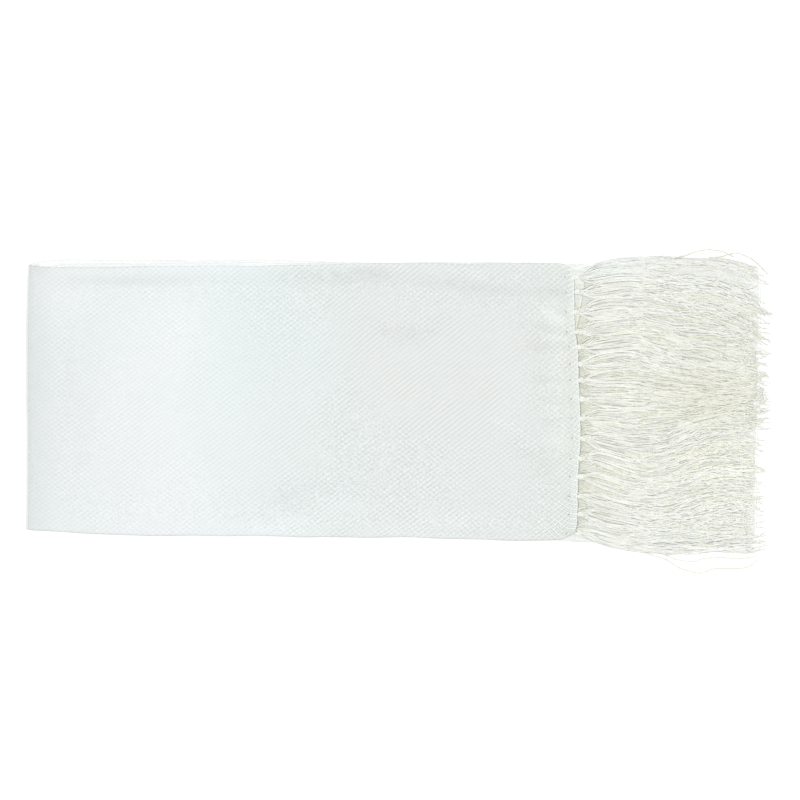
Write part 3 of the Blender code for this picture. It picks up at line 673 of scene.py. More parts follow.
class ScarfClothLook(bpy.types.PropertyGroup):
    wall: length_prop("Wall", "Thickness of the doubled cloth", 1.24 * MM)
    width: length_prop("Width", "Finished width of the scarf", 0.229)
    length: length_prop("Length", "Length of the cloth without its fringes", 2.175)
    crown: length_prop("Crown", "How much the top stretch stands higher in its middle", 0.8 * MM)
    pucker: length_prop("Pucker", "Height of the soft ridges between two knots", 0.55 * MM)
    diamond_length: length_prop(
        "Diamond length", "Length of one woven diamond along the scarf", 5.6 * MM
    )
    diamond_width: length_prop(
        "Diamond width", "Width of one woven diamond across the scarf", 4.2 * MM
    )
    thread_pitch: length_prop(
        "Thread pitch", "Distance between two threads of the same weave shed", 0.9 * MM
    )
    cloth_colour: colour_prop("Cloth", "Cool white of the cloth", 0.715, 0.744, 0.747)
    cloth_shade: colour_prop(
        "Cloth shade", "The slightly bluer white of its clouds", 0.662, 0.712, 0.708
    )
    # Painted shade: a darker white towards the hem, where the light falls off
    cloth_near_hem_shaded: colour_prop(
        "Cloth near the hem", "Its more neutral white towards the first end", 0.667, 0.693, 0.678
    )
    # Painted light: the open edges and folds of the layers below get a brighter white than the top
    # stretch
    under_lit_colour: colour_prop(
        "Under layers", "Brighter white of the cleaner layers below", 0.85, 0.865, 0.855
    )
    # Painted shade of the fringe on the layers below it
    shaded_colour: colour_prop(
        "Under the fringe", "Cooler grey of the layers under the yarns", 0.70, 0.73, 0.69
    )
    # Painted golden shade of the fringe on the layers below, by the hem and in patches
    golden_shade_colour: colour_prop(
        "Yellowed", "Yellowed patches of the layers near the hem", 0.685, 0.695, 0.58
    )
    # Painted shade deep in the needle holes
    hole_shade_colour: colour_prop(
        "Needle holes", "Colour deep in the holes of the fringe yarns", 0.16, 0.17, 0.15
    )


class ScarfFringeLook(bpy.types.PropertyGroup):
    yarn: length_prop("Yarn", "Thickness of one yarn", 0.9 * MM)
    twist_pitch: length_prop("Twist", "Length of one turn of the two plies", 6.4 * MM)
    first_yarns: count_prop(
        "Yarns, first end", "Yarns in the body of each tassel of the first end", 22, 6
    )
    crest_yarns: count_prop(
        "Crest yarns", "Thicker yarns on top of each tassel of the first end", 8, 2, 20
    )
    second_yarns: count_prop(
        "Yarns, second end", "Yarns in the body of each tassel of the second end", 22, 4
    )
    seed: count_prop("Seed", "Start of the random draws", 11, most=10000)
    first_colour: colour_prop("First end", "Cream of the first end's yarn", 0.976, 0.990, 0.928)
    # Painted golden shade deep in the first end's pile
    first_deep_shade: colour_prop(
        "First end, deep", "Warmer colour deep in the first end's pile", 0.965, 0.955, 0.775
    )
    second_colour: colour_prop(
        "Second end", "Cooler white of the second end's yarn", 0.960, 0.970, 0.910
    )
    # Painted golden shade deep in the second end's pile
    second_deep_shade: colour_prop(
        "Second end, deep", "Colour deep in the second end's pile", 0.955, 0.955, 0.82
    )
    # Painted golden shade deep in the pile near the tips and where the yarns gather
    golden_shade_colour: colour_prop(
        "Yellowed", "Yellowed patch near the tips in the middle", 0.90, 0.895, 0.735
    )
    # Painted shade of the first end's hem on the second end's yarns
    hem_shade_colour: colour_prop(
        "Second end, by the hem", "Yellowed yarn in the shade of the first end's hem", 0.795, 0.81, 0.67
    )
    corner_colour: colour_prop(
        "Far corner", "Pale cool yarns that come out under the far corner", 0.93, 0.98, 0.94
    )
    side_colour: colour_prop(
        "Sides", "Cleaner white of the yarns at both sides", 0.985, 0.995, 0.965
    )


class ScarfStageLook(bpy.types.PropertyGroup):
    floor_colour: colour_prop("Floor", "Colour of the plain floor", 0.97, 0.97, 0.97)
    key_power: power_prop("Key light", "Power of the large softbox overhead", 89.0)
    fill_power: power_prop("Fill light", "Power of the softbox on the near side", 3.0)
    sky: bpy.props.FloatProperty(
        name="Surroundings", description="Brightness of the pale studio around", default=0.375
    )
    field: length_prop("Field", "Width of floor that the picture shows", 0.6808)


def edge_wave(x, phase):
    """Slow uneven run of a long edge: two sines of unlike length."""
    return 0.35 * np.sin(x / 27.0 + phase) + 0.22 * np.sin(x / 9.7 + 2.1 * phase)


def knot_count(y, knots):
    """Which knot a place across is at, counted with fractions between two knots."""
    places = np.concatenate([[knots[0] - KNOT_PITCH], knots, [knots[-1] + KNOT_PITCH]])
    return np.interp(y, places, np.arange(-1, len(knots) + 1))


def between_knots(y, knots):
    """0 at a knot and 1 halfway between two, as the square of a sine."""
    return np.sin(np.pi * knot_count(y, knots)) ** 2


def hem_line(table, y):
    """Place along X of a hem's edge, with its corners rounded."""
    return soft_read(table, y, reach=5.0)


def crease_relief(x, y, painted_light=False):
    """Sum of soft creases, as heights or as the painted light and shade along them. Each is its height
    times e^-(d/w)^2 of the distance d from its bowed line, faded at its two ends by the square of a
    sine."""
    total = np.zeros(np.broadcast(x, y).shape)
    for start, end, width, height, bow, painted_shading in CREASES:
        line = np.subtract(end, start)
        length = np.hypot(*line)
        along = ((x - start[0]) * line[0] + (y - start[1]) * line[1]) / length**2
        off = ((y - start[1]) * line[0] - (x - start[0]) * line[1]) / length
        inside = np.clip(along, 0.0, 1.0)
        off = off - bow * 4 * inside * (1 - inside)
        past = np.maximum(np.abs(along - 0.5) - 0.5, 0.0) * length
        fade = np.sin(np.pi * (0.12 + 0.76 * inside)) ** 2
        amount = painted_shading if painted_light else height
        total = total + amount * fade * np.exp(-((off / width) ** 2) - (past / width) ** 2)
    return total


def slow_waves(x, y, phase):
    """Faint unevenness of laid cloth: three crossing waves of unlike length."""
    rows = ((0.10, 31.0, 47.0, 1.0), (0.08, 17.0, -29.0, 1.7), (0.05, 43.0, 11.0, 0.6))
    return sum(size * np.sin(x / along + y / across + k * phase) for size, along, across, k in rows)


def hem_relief(y, inside, knots, pucker, phase):
    """Height near a hem: a rolled rim, a dip behind it, a hollow and its trough at each needle hole, and
    ridges between the knots that fade inwards, each with its own height, slant and reach."""
    count = knot_count(y, knots)
    own = 1 + 0.45 * np.sin(5.1 * np.floor(count) + phase)
    reach = 13.0 + 5.0 * np.sin(3.3 * np.floor(count) + 2 * phase)
    slant = count + 0.012 * inside * np.sin(2.3 * np.floor(count + 0.5) + phase)
    ridge = pucker * own * np.sin(np.pi * slant) ** 2 * fading(np.maximum(inside, 0), reach, 1.3)
    rim = 0.22 * fading(inside - 0.7, 1.0)
    dip = -0.16 * fading(inside - 4.2, 2.2)
    off = np.abs(count - np.round(count)) * KNOT_PITCH
    behind = inside - HOLE_BACK
    hollow = -0.45 * np.exp(-((off / 1.9) ** 2) - (behind / 2.6) ** 2)
    trough = -0.22 * fading(off, 2.6) * fading(np.maximum(behind, 0), 9.0)
    return ridge + rim + dip + hollow + trough * (behind > 0)


def columns_between(knots, near, far, per_knot):
    """Shares of the width: as many columns between two knots as asked for, and a few at the edges."""
    steps = [a + (b - a) * np.arange(per_knot) / per_knot for a, b in zip(knots, knots[1:])]
    inner = np.concatenate(steps + [knots[-1:]])
    low = near + (inner[0] - near) * np.array([0.0, 0.3, 0.65])
    high = inner[-1] + (far - inner[-1]) * np.array([0.35, 0.7, 1.0])
    return (np.concatenate([low, inner, high]) - near) / (far - near)


def hem_stations(length, half, fine, coarse):
    """Distances from a hem, and shares of the cloth's thickness: a rounded end, fine steps near it, then
    coarser ones."""
    close = np.arange(0.0, FINE_REACH, fine)
    far = np.linspace(FINE_REACH, length, int((length - FINE_REACH) / coarse) + 1)
    bend = np.radians([75.0, 50.0, 25.0])
    inside = np.concatenate([-half * np.sin(bend), close, far])
    thick = np.concatenate([np.cos(bend), np.ones(len(close) + len(far))])
    return inside, thick * (0.62 + 0.38 * smooth(inside, 1.5, 20.0))


def both_edges(near, far, x, phase, inset):
    """Both long edges with their slow waves, drawn in by the inset."""
    return near + edge_wave(x, phase) + inset, far + edge_wave(x, phase + 1.9) - inset


def stretch_grid(share, middle_x, line_of, edges, phase, inset):
    """Places on one flat stretch. middle_x gives each station's place on the middle line, edges the
    table of its long edges, and line_of moves a station to a line that isn't square to the scarf. Each
    edge is read at the place where the station's own line meets it, found in a few rounds."""
    x0 = middle_x[:, None]

    def edge(column):
        """Where each station's line meets the edge in one column of the table."""
        y = soft_read(edges, x0, column)
        for _ in range(4):
            y = soft_read(edges, line_of(x0, y), column, 3.0)
        return y

    near, far = both_edges(edge(2), edge(1), x0, phase, inset)
    y = near + (far - near) * share
    return line_of(x0, y), y


def top_height(look, x, y, share, inside):
    """Height of the middle of the top stretch: a crown 1 - |2 s - 1|^4 of the share s of its width,
    lower near the hem, with the creases, the slow waves and the hem's own relief on it."""
    start = OUTER_FOLD_NOSE + OUTER_REACH_ABOVE
    crown = look.crown / MM * (1 - np.abs(2 * share - 1) ** 4)
    z = TOP_LEVEL + crown * (smooth(x, start, start + 30) - 0.6 * (1 - smooth(inside, -2.0, 60.0)))
    z = z + (crease_relief(x, y) + slow_waves(x, y, 0.3)) * smooth(x, start, start + 25)
    z = z - 0.32 * (1 - smooth(inside, 1.0, 14.0))
    return z + hem_relief(y, inside, TOP_KNOTS, look.pucker / MM, 0.8)


def cloth_middle(look):
    """The middle surface of the whole cloth as one grid, with each point's half thickness, its count of
    knots and its distance from the nearest hem."""
    half = look.wall / MM / 2
    share = columns_between(TOP_KNOTS, -110.0, 124.0, 7)
    middle_fold = float(read(CENTRE_FOLD, 0.0))
    outer, inner, centre = OUTER_FOLD_NOSE + half, INNER_FOLD_NOSE + half, middle_fold - half
    # Each stretch: its long edges, the phase of its waves and how far it's drawn in
    top = (TOP_EDGES, 0.4, half)
    bottom = (UNDER_EDGES, 2.2, half + 0.2)
    upper = (UNDER_EDGES, 3.7, half)
    second = (SECOND_EDGES, 5.1, half)
    rows = []

    def add(x, y, z, thick=1.0, knots=TOP_KNOTS, inside=NO_HEM):
        """One stretch or fold of the middle surface."""
        count = knot_count(y, knots)
        rows.append((stacked(x, y, z), thick * np.ones(len(y)), count, np.broadcast_to(inside, y.shape)))

    def hemmed(hem, knots, start, steps, stretch, height_of, order):
        """A stretch from its hem to the place where a fold starts, or the other way round."""
        middle = read(hem, 0.0)
        inside, thick = (part[::order] for part in hem_stations(middle - start, half, *steps))

        def line_of(x0, y):
            """The start plus the station's share of the way from there to the hem's own line."""
            end = hem_line(hem, y) - DRAWN_IN * (1 - between_knots(y, knots))
            return start + (end - start) * (x0 - start) / (middle - start)

        x, y = stretch_grid(share, middle - inside, line_of, *stretch)
        deep = np.broadcast_to(inside[:, None], x.shape)
        add(x, y, height_of(x, y, deep), thick, knots, deep)

    def fold(nose, reaches, levels, way, stretches, steps, lean=lambda x0, y: 0.0):
        """A half ellipse round a nose, from one level and one stretch's edges to the other's."""
        angle = np.pi * np.arange(1, steps) / steps
        reach = np.where(angle < np.pi / 2, *reaches)[:, None]
        turned = (angle / np.pi)[:, None]
        x0 = nose + way * reach * (1 - np.sin(angle))[:, None]
        before, after = (
            np.array(both_edges(soft_read(edges, x0, 2), soft_read(edges, x0, 1), x0, *own))
            for edges, *own in stretches
        )
        near, far = before * (1 - turned) + after * turned
        y = near + (far - near) * share
        low, high = levels
        z = (low + high) / 2 + (low - high) / 2 * np.cos(angle)[:, None] + 0 * y
        add(x0 + lean(x0, y), y, z)

    def layer(start, end, level, stretch):
        """A flat hidden stretch between two folds."""
        x, y = stretch_grid(share, np.linspace(start, end, 60), sheared, *stretch)
        add(x, y, level + 0.6 * slow_waves(x, y, stretch[1]) * (level > BOTTOM_LEVEL))

    def centre_lean(x0, y):
        """How far the centre fold lies from a line square to the scarf."""
        return soft_read(CENTRE_FOLD, y) - middle_fold

    def sheared(x0, y):
        """Places of the under layers, which are sheared towards the centre fold."""
        return x0 + centre_lean(x0, y) * smooth(x0, 150.0, middle_fold)

    def outer_lean(x0, y):
        """The outer fold leans in towards the far side, but not where the inner layers lie."""
        return read(OUTER_FOLD_BOW, y) * (1 - smooth(x0, OUTER_FOLD_NOSE + 1.5, OUTER_FOLD_NOSE + 6.0))

    def top_of(x, y, deep):
        return top_height(look, x, y, share, deep)

    def second_of(x, y, deep):
        relief = hem_relief(y, deep, SECOND_KNOTS, look.pucker / MM, 2.0)
        return SECOND_LEVEL + 0.5 * slow_waves(x, y, 5.1) + 0.4 * relief

    outer_start = outer + OUTER_REACH_ABOVE
    centre_start, inner_start = centre - CENTRE_REACH, inner + INNER_REACH
    outer_reaches = (OUTER_REACH_ABOVE, OUTER_REACH_BELOW)
    centre_reaches, inner_reaches = (CENTRE_REACH, CENTRE_REACH), (INNER_REACH, INNER_REACH)
    hemmed(TOP_HEM, TOP_KNOTS, outer_start, (1.3, 4.0), top, top_of, 1)
    fold(outer, outer_reaches, (TOP_LEVEL, BOTTOM_LEVEL), 1.0, (top, bottom), 30, outer_lean)
    layer(outer + OUTER_REACH_BELOW, centre_start, BOTTOM_LEVEL, bottom)
    centre_levels = (BOTTOM_LEVEL, UPPER_UNDER_LEVEL)
    fold(centre, centre_reaches, centre_levels, -1.0, (bottom, upper), 14, centre_lean)
    layer(centre_start, inner_start, UPPER_UNDER_LEVEL, upper)
    fold(inner, inner_reaches, (UPPER_UNDER_LEVEL, SECOND_LEVEL), 1.0, (upper, second), 12)
    hemmed(SECOND_HEM, SECOND_KNOTS, inner_start, (1.6, 9.0), second, second_of, -1)
    surface, thick, count, deep = (np.concatenate(part) for part in zip(*rows))
    return surface, thick * half, count, deep


def cloth_skin(look):
    """The closed shell round the middle surface: that surface plus and minus its normal times half
    the wall, with half circles round both long edges. Also gives the span of its UV, and for each
    point the count of knots with the distance from the hem, and the painted light and shade on it."""
    middle, half, count, deep = cloth_middle(look)
    stations, columns = middle.shape[:2]
    across = unit(np.gradient(middle, axis=1))
    along = unit(np.gradient(middle, axis=0))
    normal = unit(np.cross(across, along))
    step = half[:, None, None]
    arc = np.radians([30.0, 60.0, 90.0, 120.0, 150.0])

    def rounded(edge, outwards):
        """Points of a half circle round one long edge: the middle plus the cosine of the wall's normal
        and the sine of the way outwards, in the order of the whole ring."""
        up = normal[:, edge, None]
        out = across[:, edge, None] * outwards
        bend = arc[::outwards]
        return middle[:, edge, None] + step * (np.cos(bend)[:, None] * up + np.sin(bend)[:, None] * out)

    outer = middle + normal * step
    inner = (middle - normal * step)[:, ::-1]
    grid = np.concatenate([outer, rounded(-1, 1), inner, rounded(0, -1)], axis=1)
    size = grid.shape[1]
    # The UV counts millimetres along the cloth's middle line, and across both its faces and edges
    width = look.width / MM
    edge_width = 2.0
    row = middle[stations // 8, :, 1]
    shares = (row - row[0]) / (row[-1] - row[0])
    edge_places = edge_width * arc / np.pi
    back = width + edge_width
    across_v = np.concatenate([
        shares * width, width + edge_places, back + (1 - shares[::-1]) * width,
        back + width + edge_places,
    ])
    centre = middle[:, columns // 2]
    run = np.concatenate([[0], np.cumsum(np.linalg.norm(np.diff(centre, axis=0), axis=1))])
    uv = stacked(run[:, None], across_v[None], 0.0)[..., :2]
    here, beside = ring_corners(stations, size)
    quads = np.stack([here, beside, beside + size, here + size], axis=1)
    # Closing of each hem: outer face against inner face, and a fan in each rounded edge
    k = np.arange(columns - 1)
    facing = 2 * columns + len(arc) - 1 - k
    cap = np.stack([k, facing, facing - 1, k + 1], axis=1)
    far = np.arange(columns - 1, columns + len(arc) + 1)
    near = np.concatenate([np.arange(2 * columns + len(arc) - 1, size), [0]])
    fans = [[ring[0], ring[j + 1], ring[j]] for ring in (far, near) for j in range(1, len(ring) - 1)]
    fans = np.array(fans)
    last = (stations - 1) * size
    # Where only the outer fold is left, nothing white lies behind the cloth, and it is painted darker as
    # shade
    x, y, z = (grid[..., k] for k in range(3))
    thin = 1 - smooth(x, OUTER_FOLD_NOSE + 8.0, OUTER_FOLD_NOSE + 30.0)
    below = 1 - smooth(z, TOP_LEVEL - 1.3, TOP_LEVEL - 0.9)
    skin = Skin()
    skin.add(
        grid, uv, np.stack([below, thin * (1 - below)], axis=-1),
        [quads, cap, fans, cap[:, ::-1] + last, fans[:, ::-1] + last],
    )
    k = np.arange(columns)
    ends = np.zeros(len(arc), int)
    column_of = np.concatenate([k, ends + columns - 1, k[::-1], ends])
    hem = np.stack([count[:, column_of], deep[:, column_of]], axis=-1).reshape(-1, 2)
    # The far edge of the top stretch and the fold and far edge of the layers below catch the light
    from_side = np.maximum(read(TOP_EDGES, x, 1) - y, 0.0)
    rolled = 0.055 * fading(from_side, 2.6) * smooth(x, -235.0, -190.0)
    bend = 0.45 * below * smooth(x - soft_read(CENTRE_FOLD, y), -2.2, -0.2)
    bend = bend + 0.12 * below * smooth(y - read(UNDER_EDGES, x, 1), -1.6, -0.3) * (x > 120)
    painted_light = (crease_relief(x, y, True) + rolled) * (1 - below) + bend
    return skin, back + width + edge_width, hem, painted_light


class SCARF_OT_cloth(bpy.types.Operator):
    """Make the cloth: one closed shell through all four layers, with its folds, creases and hems"""

    bl_idname = "scarf.cloth"
    bl_label = "Cloth"

    def execute(self, context):
        look = context.scene.scarf_cloth
        skin, span, hem, painted_light = cloth_skin(look)
        made = skin.piece("scarf_cloth", cloth_finish(look), seam=(1, span))
        give_uvs(made.data, "hem", hem[np.concatenate(skin.corners)])
        # The mesh holds the painted light and shade of creases, edges and folds
        give_numbers(made.data, "painted_light", painted_light)
        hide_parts("top_stretch", "second_end_stretch", "under_stretch")
        return {"FINISHED"}


def support_height(x, y):
    """Height of what lies under the fringe: the under layers, falling softly to the floor."""
    past_fold = x - read(CENTRE_FOLD, y)
    past_side = np.maximum(y - read(UNDER_EDGES, x, 1), read(UNDER_EDGES, x, 2) - y)
    fallen = np.maximum(smooth(past_fold, -0.6, 9.0), smooth(past_side, 0.5, 13.0))
    return (UPPER_UNDER_LEVEL + 0.62) * (1 - fallen)


def inside_pile(x, y):
    """1 within the dense part of the fringe and 0 outside it."""
    inside = np.minimum(read(FRINGE_SIDES, x, 1) - y, y - read(FRINGE_SIDES, x, 2))
    return smooth(inside, -1.0, 6.0)


def flow(share, x, level, pull):
    """Place across the fringe of a yarn, from its share of the width counted from the near side.

    Past the knots the middle yarns bow to the far side and those below them to the near side. Then
    they draw together, each with its own pull, and slow waves that neighbours share carry them.
    """
    near, far = soft_read(FRINGE_SIDES, x, 2), soft_read(FRINGE_SIDES, x, 1)
    y = near + (far - near) * share
    free = smooth(np.minimum(share, 1 - share), 0.0, 0.10)
    y = y + free * 3.2 * hump(x, 152.0, 245.0) * fading(y - 40.0, 52.0)
    y = y - free * 6.5 * hump(x, 158.0, 275.0) * fading(y + 44.0, 42.0)
    off = y - GATHER_Y
    y = GATHER_Y + off * (1 - pull * smooth(x, 192.0, TIPS_X) * fading(off, 74.0))
    rows = ((1.5, 16.5, 9.0, 2.1), (1.1, 11.0, -23.0, 3.7), (0.8, 24.0, 47.0, 1.3))
    waves = sum(size * np.sin(x / along + a * share + b * level) for size, along, a, b in rows)
    return y + free * waves * smooth(x, 165.0, 215.0)


def share_span(knots, number):
    """The part of the fringe's width that one tassel fills: halfway to the knots beside it."""
    near, far = read(FRINGE_SIDES, ROOTS_X, 2), read(FRINGE_SIDES, ROOTS_X, 1)
    places = np.concatenate([[near], (knots[1:] + knots[:-1]) / 2, [far]])
    return (places[number : number + 2] - near) / (far - near)


def lock_set(random, span, end):
    """The few locks that a tassel's yarns keep together in: middle, drift, pull, lift and waves."""
    start, stop = span
    count = end["locks"]
    middle = (np.arange(count) + 0.5) / count + random.uniform(-0.12, 0.12, count)
    return {
        "span": stop - start,
        "share": start + (stop - start) * middle,
        "drift": random.normal(0, end["drift"], count) * (stop - start),
        "pull": random.normal(end["pull"], 0.16, count),
        "lift": random.random(count),
        "tint": 0.6 * random.uniform(-1, 1, count),
        "waves": [
            (
                reach * random.uniform(0.3, 1.6, count),
                random.uniform(low, high, count),
                random.uniform(0, 2 * np.pi, count),
            )
            for low, high, reach in ((34.0, 80.0, 0.7), (15.0, 30.0, 0.25))
        ],
    }


def own_waves(random, sizes, lengths, count, most_phase=2 * np.pi):
    """A wave's size, length and phase for each yarn, drawn between two sizes and two lengths."""
    low, high = [[sizes[0]], [lengths[0]], [0.0]], [[sizes[1]], [lengths[1]], [most_phase]]
    return random.uniform(low, high, (3, count))[..., None]


def tassel_paths(random, knot, locks, across, lifted, stations, end, thick):
    """Paths of some yarns of one tassel, as (yarn, station, xyz), and how high in the pile each is.

    From the knot each yarn flares as 1 - a e^-(d/f)^1.5 of the way d towards its own lane, and sinks
    into the pile. A lock is highest along its middle, so that the place across it sets the height.
    """
    count = len(across)
    lock = np.arange(count) % end["locks"]
    share = locks["share"][lock] + across * end["reach"] / end["locks"] * locks["span"]
    drift = locks["drift"][lock] + random.normal(0, 0.08, count) * locks["span"]
    pull = np.clip(locks["pull"][lock] + random.normal(0, 0.05, count), 0.0, 0.9)
    rank = lifted + 0.25 * locks["lift"][lock] + 0.4 * (1 - across**2) + random.normal(0, 0.07, count)
    rank = np.clip(rank, 0, 1.1)
    # Some of the yarns reach past the centre fold, and the others end before it
    tip_share = np.clip(share + drift, LEAST_SHARE, MOST_SHARE)
    end_y = flow(tip_share, TIPS_X, end["level"], pull)
    past = np.where(
        random.random(count) < LONG_TIPS,
        random.uniform(1.0, 10.5, count),
        -1.0 - np.abs(random.normal(0, 7.0, count)),
    )
    tip_x = read(CENTRE_FOLD, end_y) + np.maximum(past, -SHORTEST_TIP)
    root_x = knot[0] + 0.6
    t = np.linspace(0, 1, stations)
    t = t - 0.06 * np.sin(2 * np.pi * t)
    x = root_x + (tip_x - root_x)[:, None] * t
    d = x - root_x
    # From a round bundle at the knot to the yarn's own lane
    where = share[:, None] + drift[:, None] * smooth(d, 25.0, 125.0)
    where = np.clip(where, LEAST_SHARE, MOST_SHARE)
    lane = flow(where, x, end["level"] + 0.3 * lock[:, None], pull[:, None])
    slow = SLOW_FLARE if knot[1] > SLOW_FROM else end["flare"]
    turn_out = slow * random.uniform(0.85, 1.2, (count, 1))
    flare = 1 - end["bundle"] * fading(np.maximum(d - end["tight"], 0), turn_out, 1.5)
    angle = random.uniform(0, 2 * np.pi, count)
    spread = 2.3 * np.sqrt(random.random(count))
    y = knot[1] + (lane - knot[1]) * flare + (spread * np.cos(angle))[:, None] * np.exp(-d / 9.0)
    # Waves of the lock and of the yarn itself, and a curl towards the tip
    free = smooth(d, 10.0, 75.0)
    for size, length, phase in locks["waves"]:
        turn = 2 * np.pi * d / length[lock, None] + phase[lock, None]
        y = y + free * size[lock, None] * np.sin(turn)
    for low, high, reach in ((30.0, 70.0, 0.4), (12.0, 26.0, 0.26), (6.0, 10.5, 0.2)):
        size, length, phase = own_waves(random, (0.3, 1.6), (low, high), count)
        y = y + free * reach * size * np.sin(2 * np.pi * d / length + phase)
    curl = random.normal(0, 1.0, count) * np.where(random.random(count) < 0.35, 3.6, 1.2)
    left = (tip_x[:, None] - x) / 13.0
    y = y + curl[:, None] * (1 - smooth(left, 0.0, 1.0)) ** 1.5
    # Height in the pile
    inside = inside_pile(x, y)
    height = end["pile"] * (1 - 0.22 * smooth(x, 255.0, 305.0)) * (0.35 + 0.65 * inside)
    turns = d / random.uniform(16, 40, (count, 1))
    wave = 0.2 * np.sin(2 * np.pi * turns + 6.0 * random.random((count, 1)))
    rest = support_height(x, y) + thick + end["base"] * inside + rank[:, None] * height + wave * free
    settled = 1 - fading(d, 15.0, 1.4)
    root_z = knot[2] + (spread * np.sin(angle))[:, None] * 0.7
    z = root_z * (1 - settled) + rest * settled
    return stacked(x, y, np.maximum(z, thick)), rank


def corner_yarns_into(skin, random, thick, level, pitch):
    """Yarns that come out from under the cloth at the far corner and fan to the side of the fringe."""
    (low, high), (first, last), amount = CORNER_Y, CORNER_SHARES, CORNER_YARNS
    t = np.linspace(0, 1, 64)
    order = (np.arange(amount) + random.uniform(-0.3, 0.3, amount)) / amount
    start_y = (low + (high - low) * order)[:, None]
    share = np.clip(first + (last - first) * order, LEAST_SHARE, MOST_SHARE)[:, None]
    tip_x = 303.0 - 14.0 * random.random((amount, 1))
    x = CORNER_X + (tip_x - CORNER_X) * t
    d = x - CORNER_X
    y = start_y + (flow(share, x, 0.0, 0.35) - start_y) * (1 - fading(d, 14.0, 1.5))
    size, length, phase = own_waves(random, (0.2, 0.5), (14.0, 40.0), amount, 6.3)
    y = y + size * np.sin(2 * np.pi * d / length + phase) * smooth(d, 4.0, 30.0)
    rest = support_height(x, y) + thick + 0.9 * inside_pile(x, y) * random.random((amount, 1))
    z = rest + (level - rest) * (1 - smooth(x, 155.0, 172.0))
    radii = thick * random.uniform(0.85, 1.1, (amount, 1)) * np.ones(len(t))
    tint = np.stack([random.uniform(-1, 1, amount), np.full(amount, 0.1)], axis=1)
    turn = random.uniform(0, 6, amount)
    skin.tube(stacked(x, y, z), radii, 6, tint, pitch=pitch, oval=0.14, turn=turn)


def through(points, count):
    """A curve through points in even steps: a cubic from each to the next, whose slope at a point is
    half of what lies between its neighbours."""
    known = np.array(points, float)
    padded = np.concatenate([[2 * known[0] - known[1]], known, [2 * known[-1] - known[-2]]])
    t = np.linspace(0, len(known) - 1, count)
    i = np.minimum(t.astype(int), len(known) - 2)
    f = (t - i)[:, None]
    a, b, c, d = (padded[i + k] for k in range(4))
    squared, cubed = (2 * a - 5 * b + 4 * c - d) * f**2, (3 * b - a - 3 * c + d) * f**3
    return 0.5 * (2 * b + (c - a) * f + squared + cubed)


def knot_into(skin, centre, size, ply, turn, tint):
    """An overhand knot: a trefoil (R + r cos 3a) that winds twice round the bundle's own line, over
    a core that fills it."""
    a = np.linspace(0, 2 * np.pi, 73)
    wide = 1.0 + 0.36 * np.cos(3 * a)
    around = 2 * a + turn
    x = 0.62 * np.sin(3 * a) * size[0]
    y = wide * np.cos(around) * 0.72 * size[1]
    z = wide * np.sin(around) * 0.72 * size[2]
    radii = ply * (1 + 0.08 * np.sin(19 * a))[None]
    path = centre + stacked(x, y, z)[None]
    # Depths of 0.7 for the knot's yarn and 1 for its core paint golden shade inside the knot
    skin.tube(path, radii, 9, (tint, 0.7), pitch=4.0, oval=0.14, guide=(1, 0, 0))
    b = np.linspace(-1, 1, 9)
    radii = np.sqrt(np.maximum(1 - b**2, 0.12))[None] * min(size[1], size[2] + ply) * 0.72
    skin.tube(centre + stacked(b * size[0], 0.0, 0.0)[None], radii, 10, (tint, 1.0), pitch=6.0, oval=0.1)


def hem_yarns_into(skin, random, hem_x, knot, top, tint, thick):
    """The yarns that come up through the hole, run over the hem's edge and go into the knot, and those
    that come from under the edge."""
    # Depths of 0.3 over the hem and 0.8 under its edge paint shade on these yarns
    hole_x = hem_x - HOLE_BACK
    t = np.linspace(0, 1, 15)
    for aside in (-0.26, 0.26):
        x = hole_x + (knot[0] - hole_x) * t
        y = knot[1] + aside * (0.5 + 0.9 * np.sin(np.pi * t)) + random.normal(0, 0.06)
        over = top - 0.14 - 1.0 * fading(x - hole_x, 1.2)
        z = over + (knot[2] - over) * smooth(x, hem_x - 0.4, knot[0])
        radii = thick * 0.4 * (1 + smooth(x, hem_x - 0.6, knot[0]))[None]
        skin.tube(stacked(x, y, z)[None], radii, 6, (tint, 0.3), turn=random.uniform(0, 6))
    for aside in (-0.5, 0.5):
        x = hem_x - 2.0 + (knot[0] - hem_x + 2.0) * t
        y = knot[1] + aside * (1 - 0.6 * t)
        z = (top - 1.6) * (1 - t) + knot[2] * t
        skin.tube(stacked(x, y, z)[None], np.full((1, len(t)), thick * 0.6), 6, (tint, 0.8))


# What sets the two ends apart: the pile's base and height, its locks and how they draw together, and
# how the yarns leave the knot
FIRST_END = {
    "level": 1.0, "base": 0.5, "pile": 1.6, "locks": 4, "reach": 0.62, "drift": 0.22, "pull": 0.55,
    "flare": 8.5, "tight": 0.6, "bundle": 0.92,
}
SECOND_END = {
    "level": 0.0, "base": 0.0, "pile": 0.6, "locks": 3, "reach": 1.1, "drift": 0.5, "pull": 0.35,
    "flare": 6.0, "tight": 0.0, "bundle": 0.85,
}
# Knots: half sizes and yarn radius of the first end's, of those of the second end that show by the
# far corner, and of the pressed ones that don't
TOP_KNOT = ((2.9, 1.9, 1.4), 0.62)
SEEN_KNOT = ((1.9, 1.7, 1.2), 0.6)
HIDDEN_KNOT = ((1.7, 1.6, 0.30), 0.42)
SEEN_KNOTS = 4
# The first end's tassels beyond one place across lie higher, on the cloth's far corner, and those of
# both ends beyond another flare as slowly as this
HIGH_FROM, HIGHER = 70.0, 0.7
SLOW_FROM, SLOW_FLARE = 90.0, 9.0


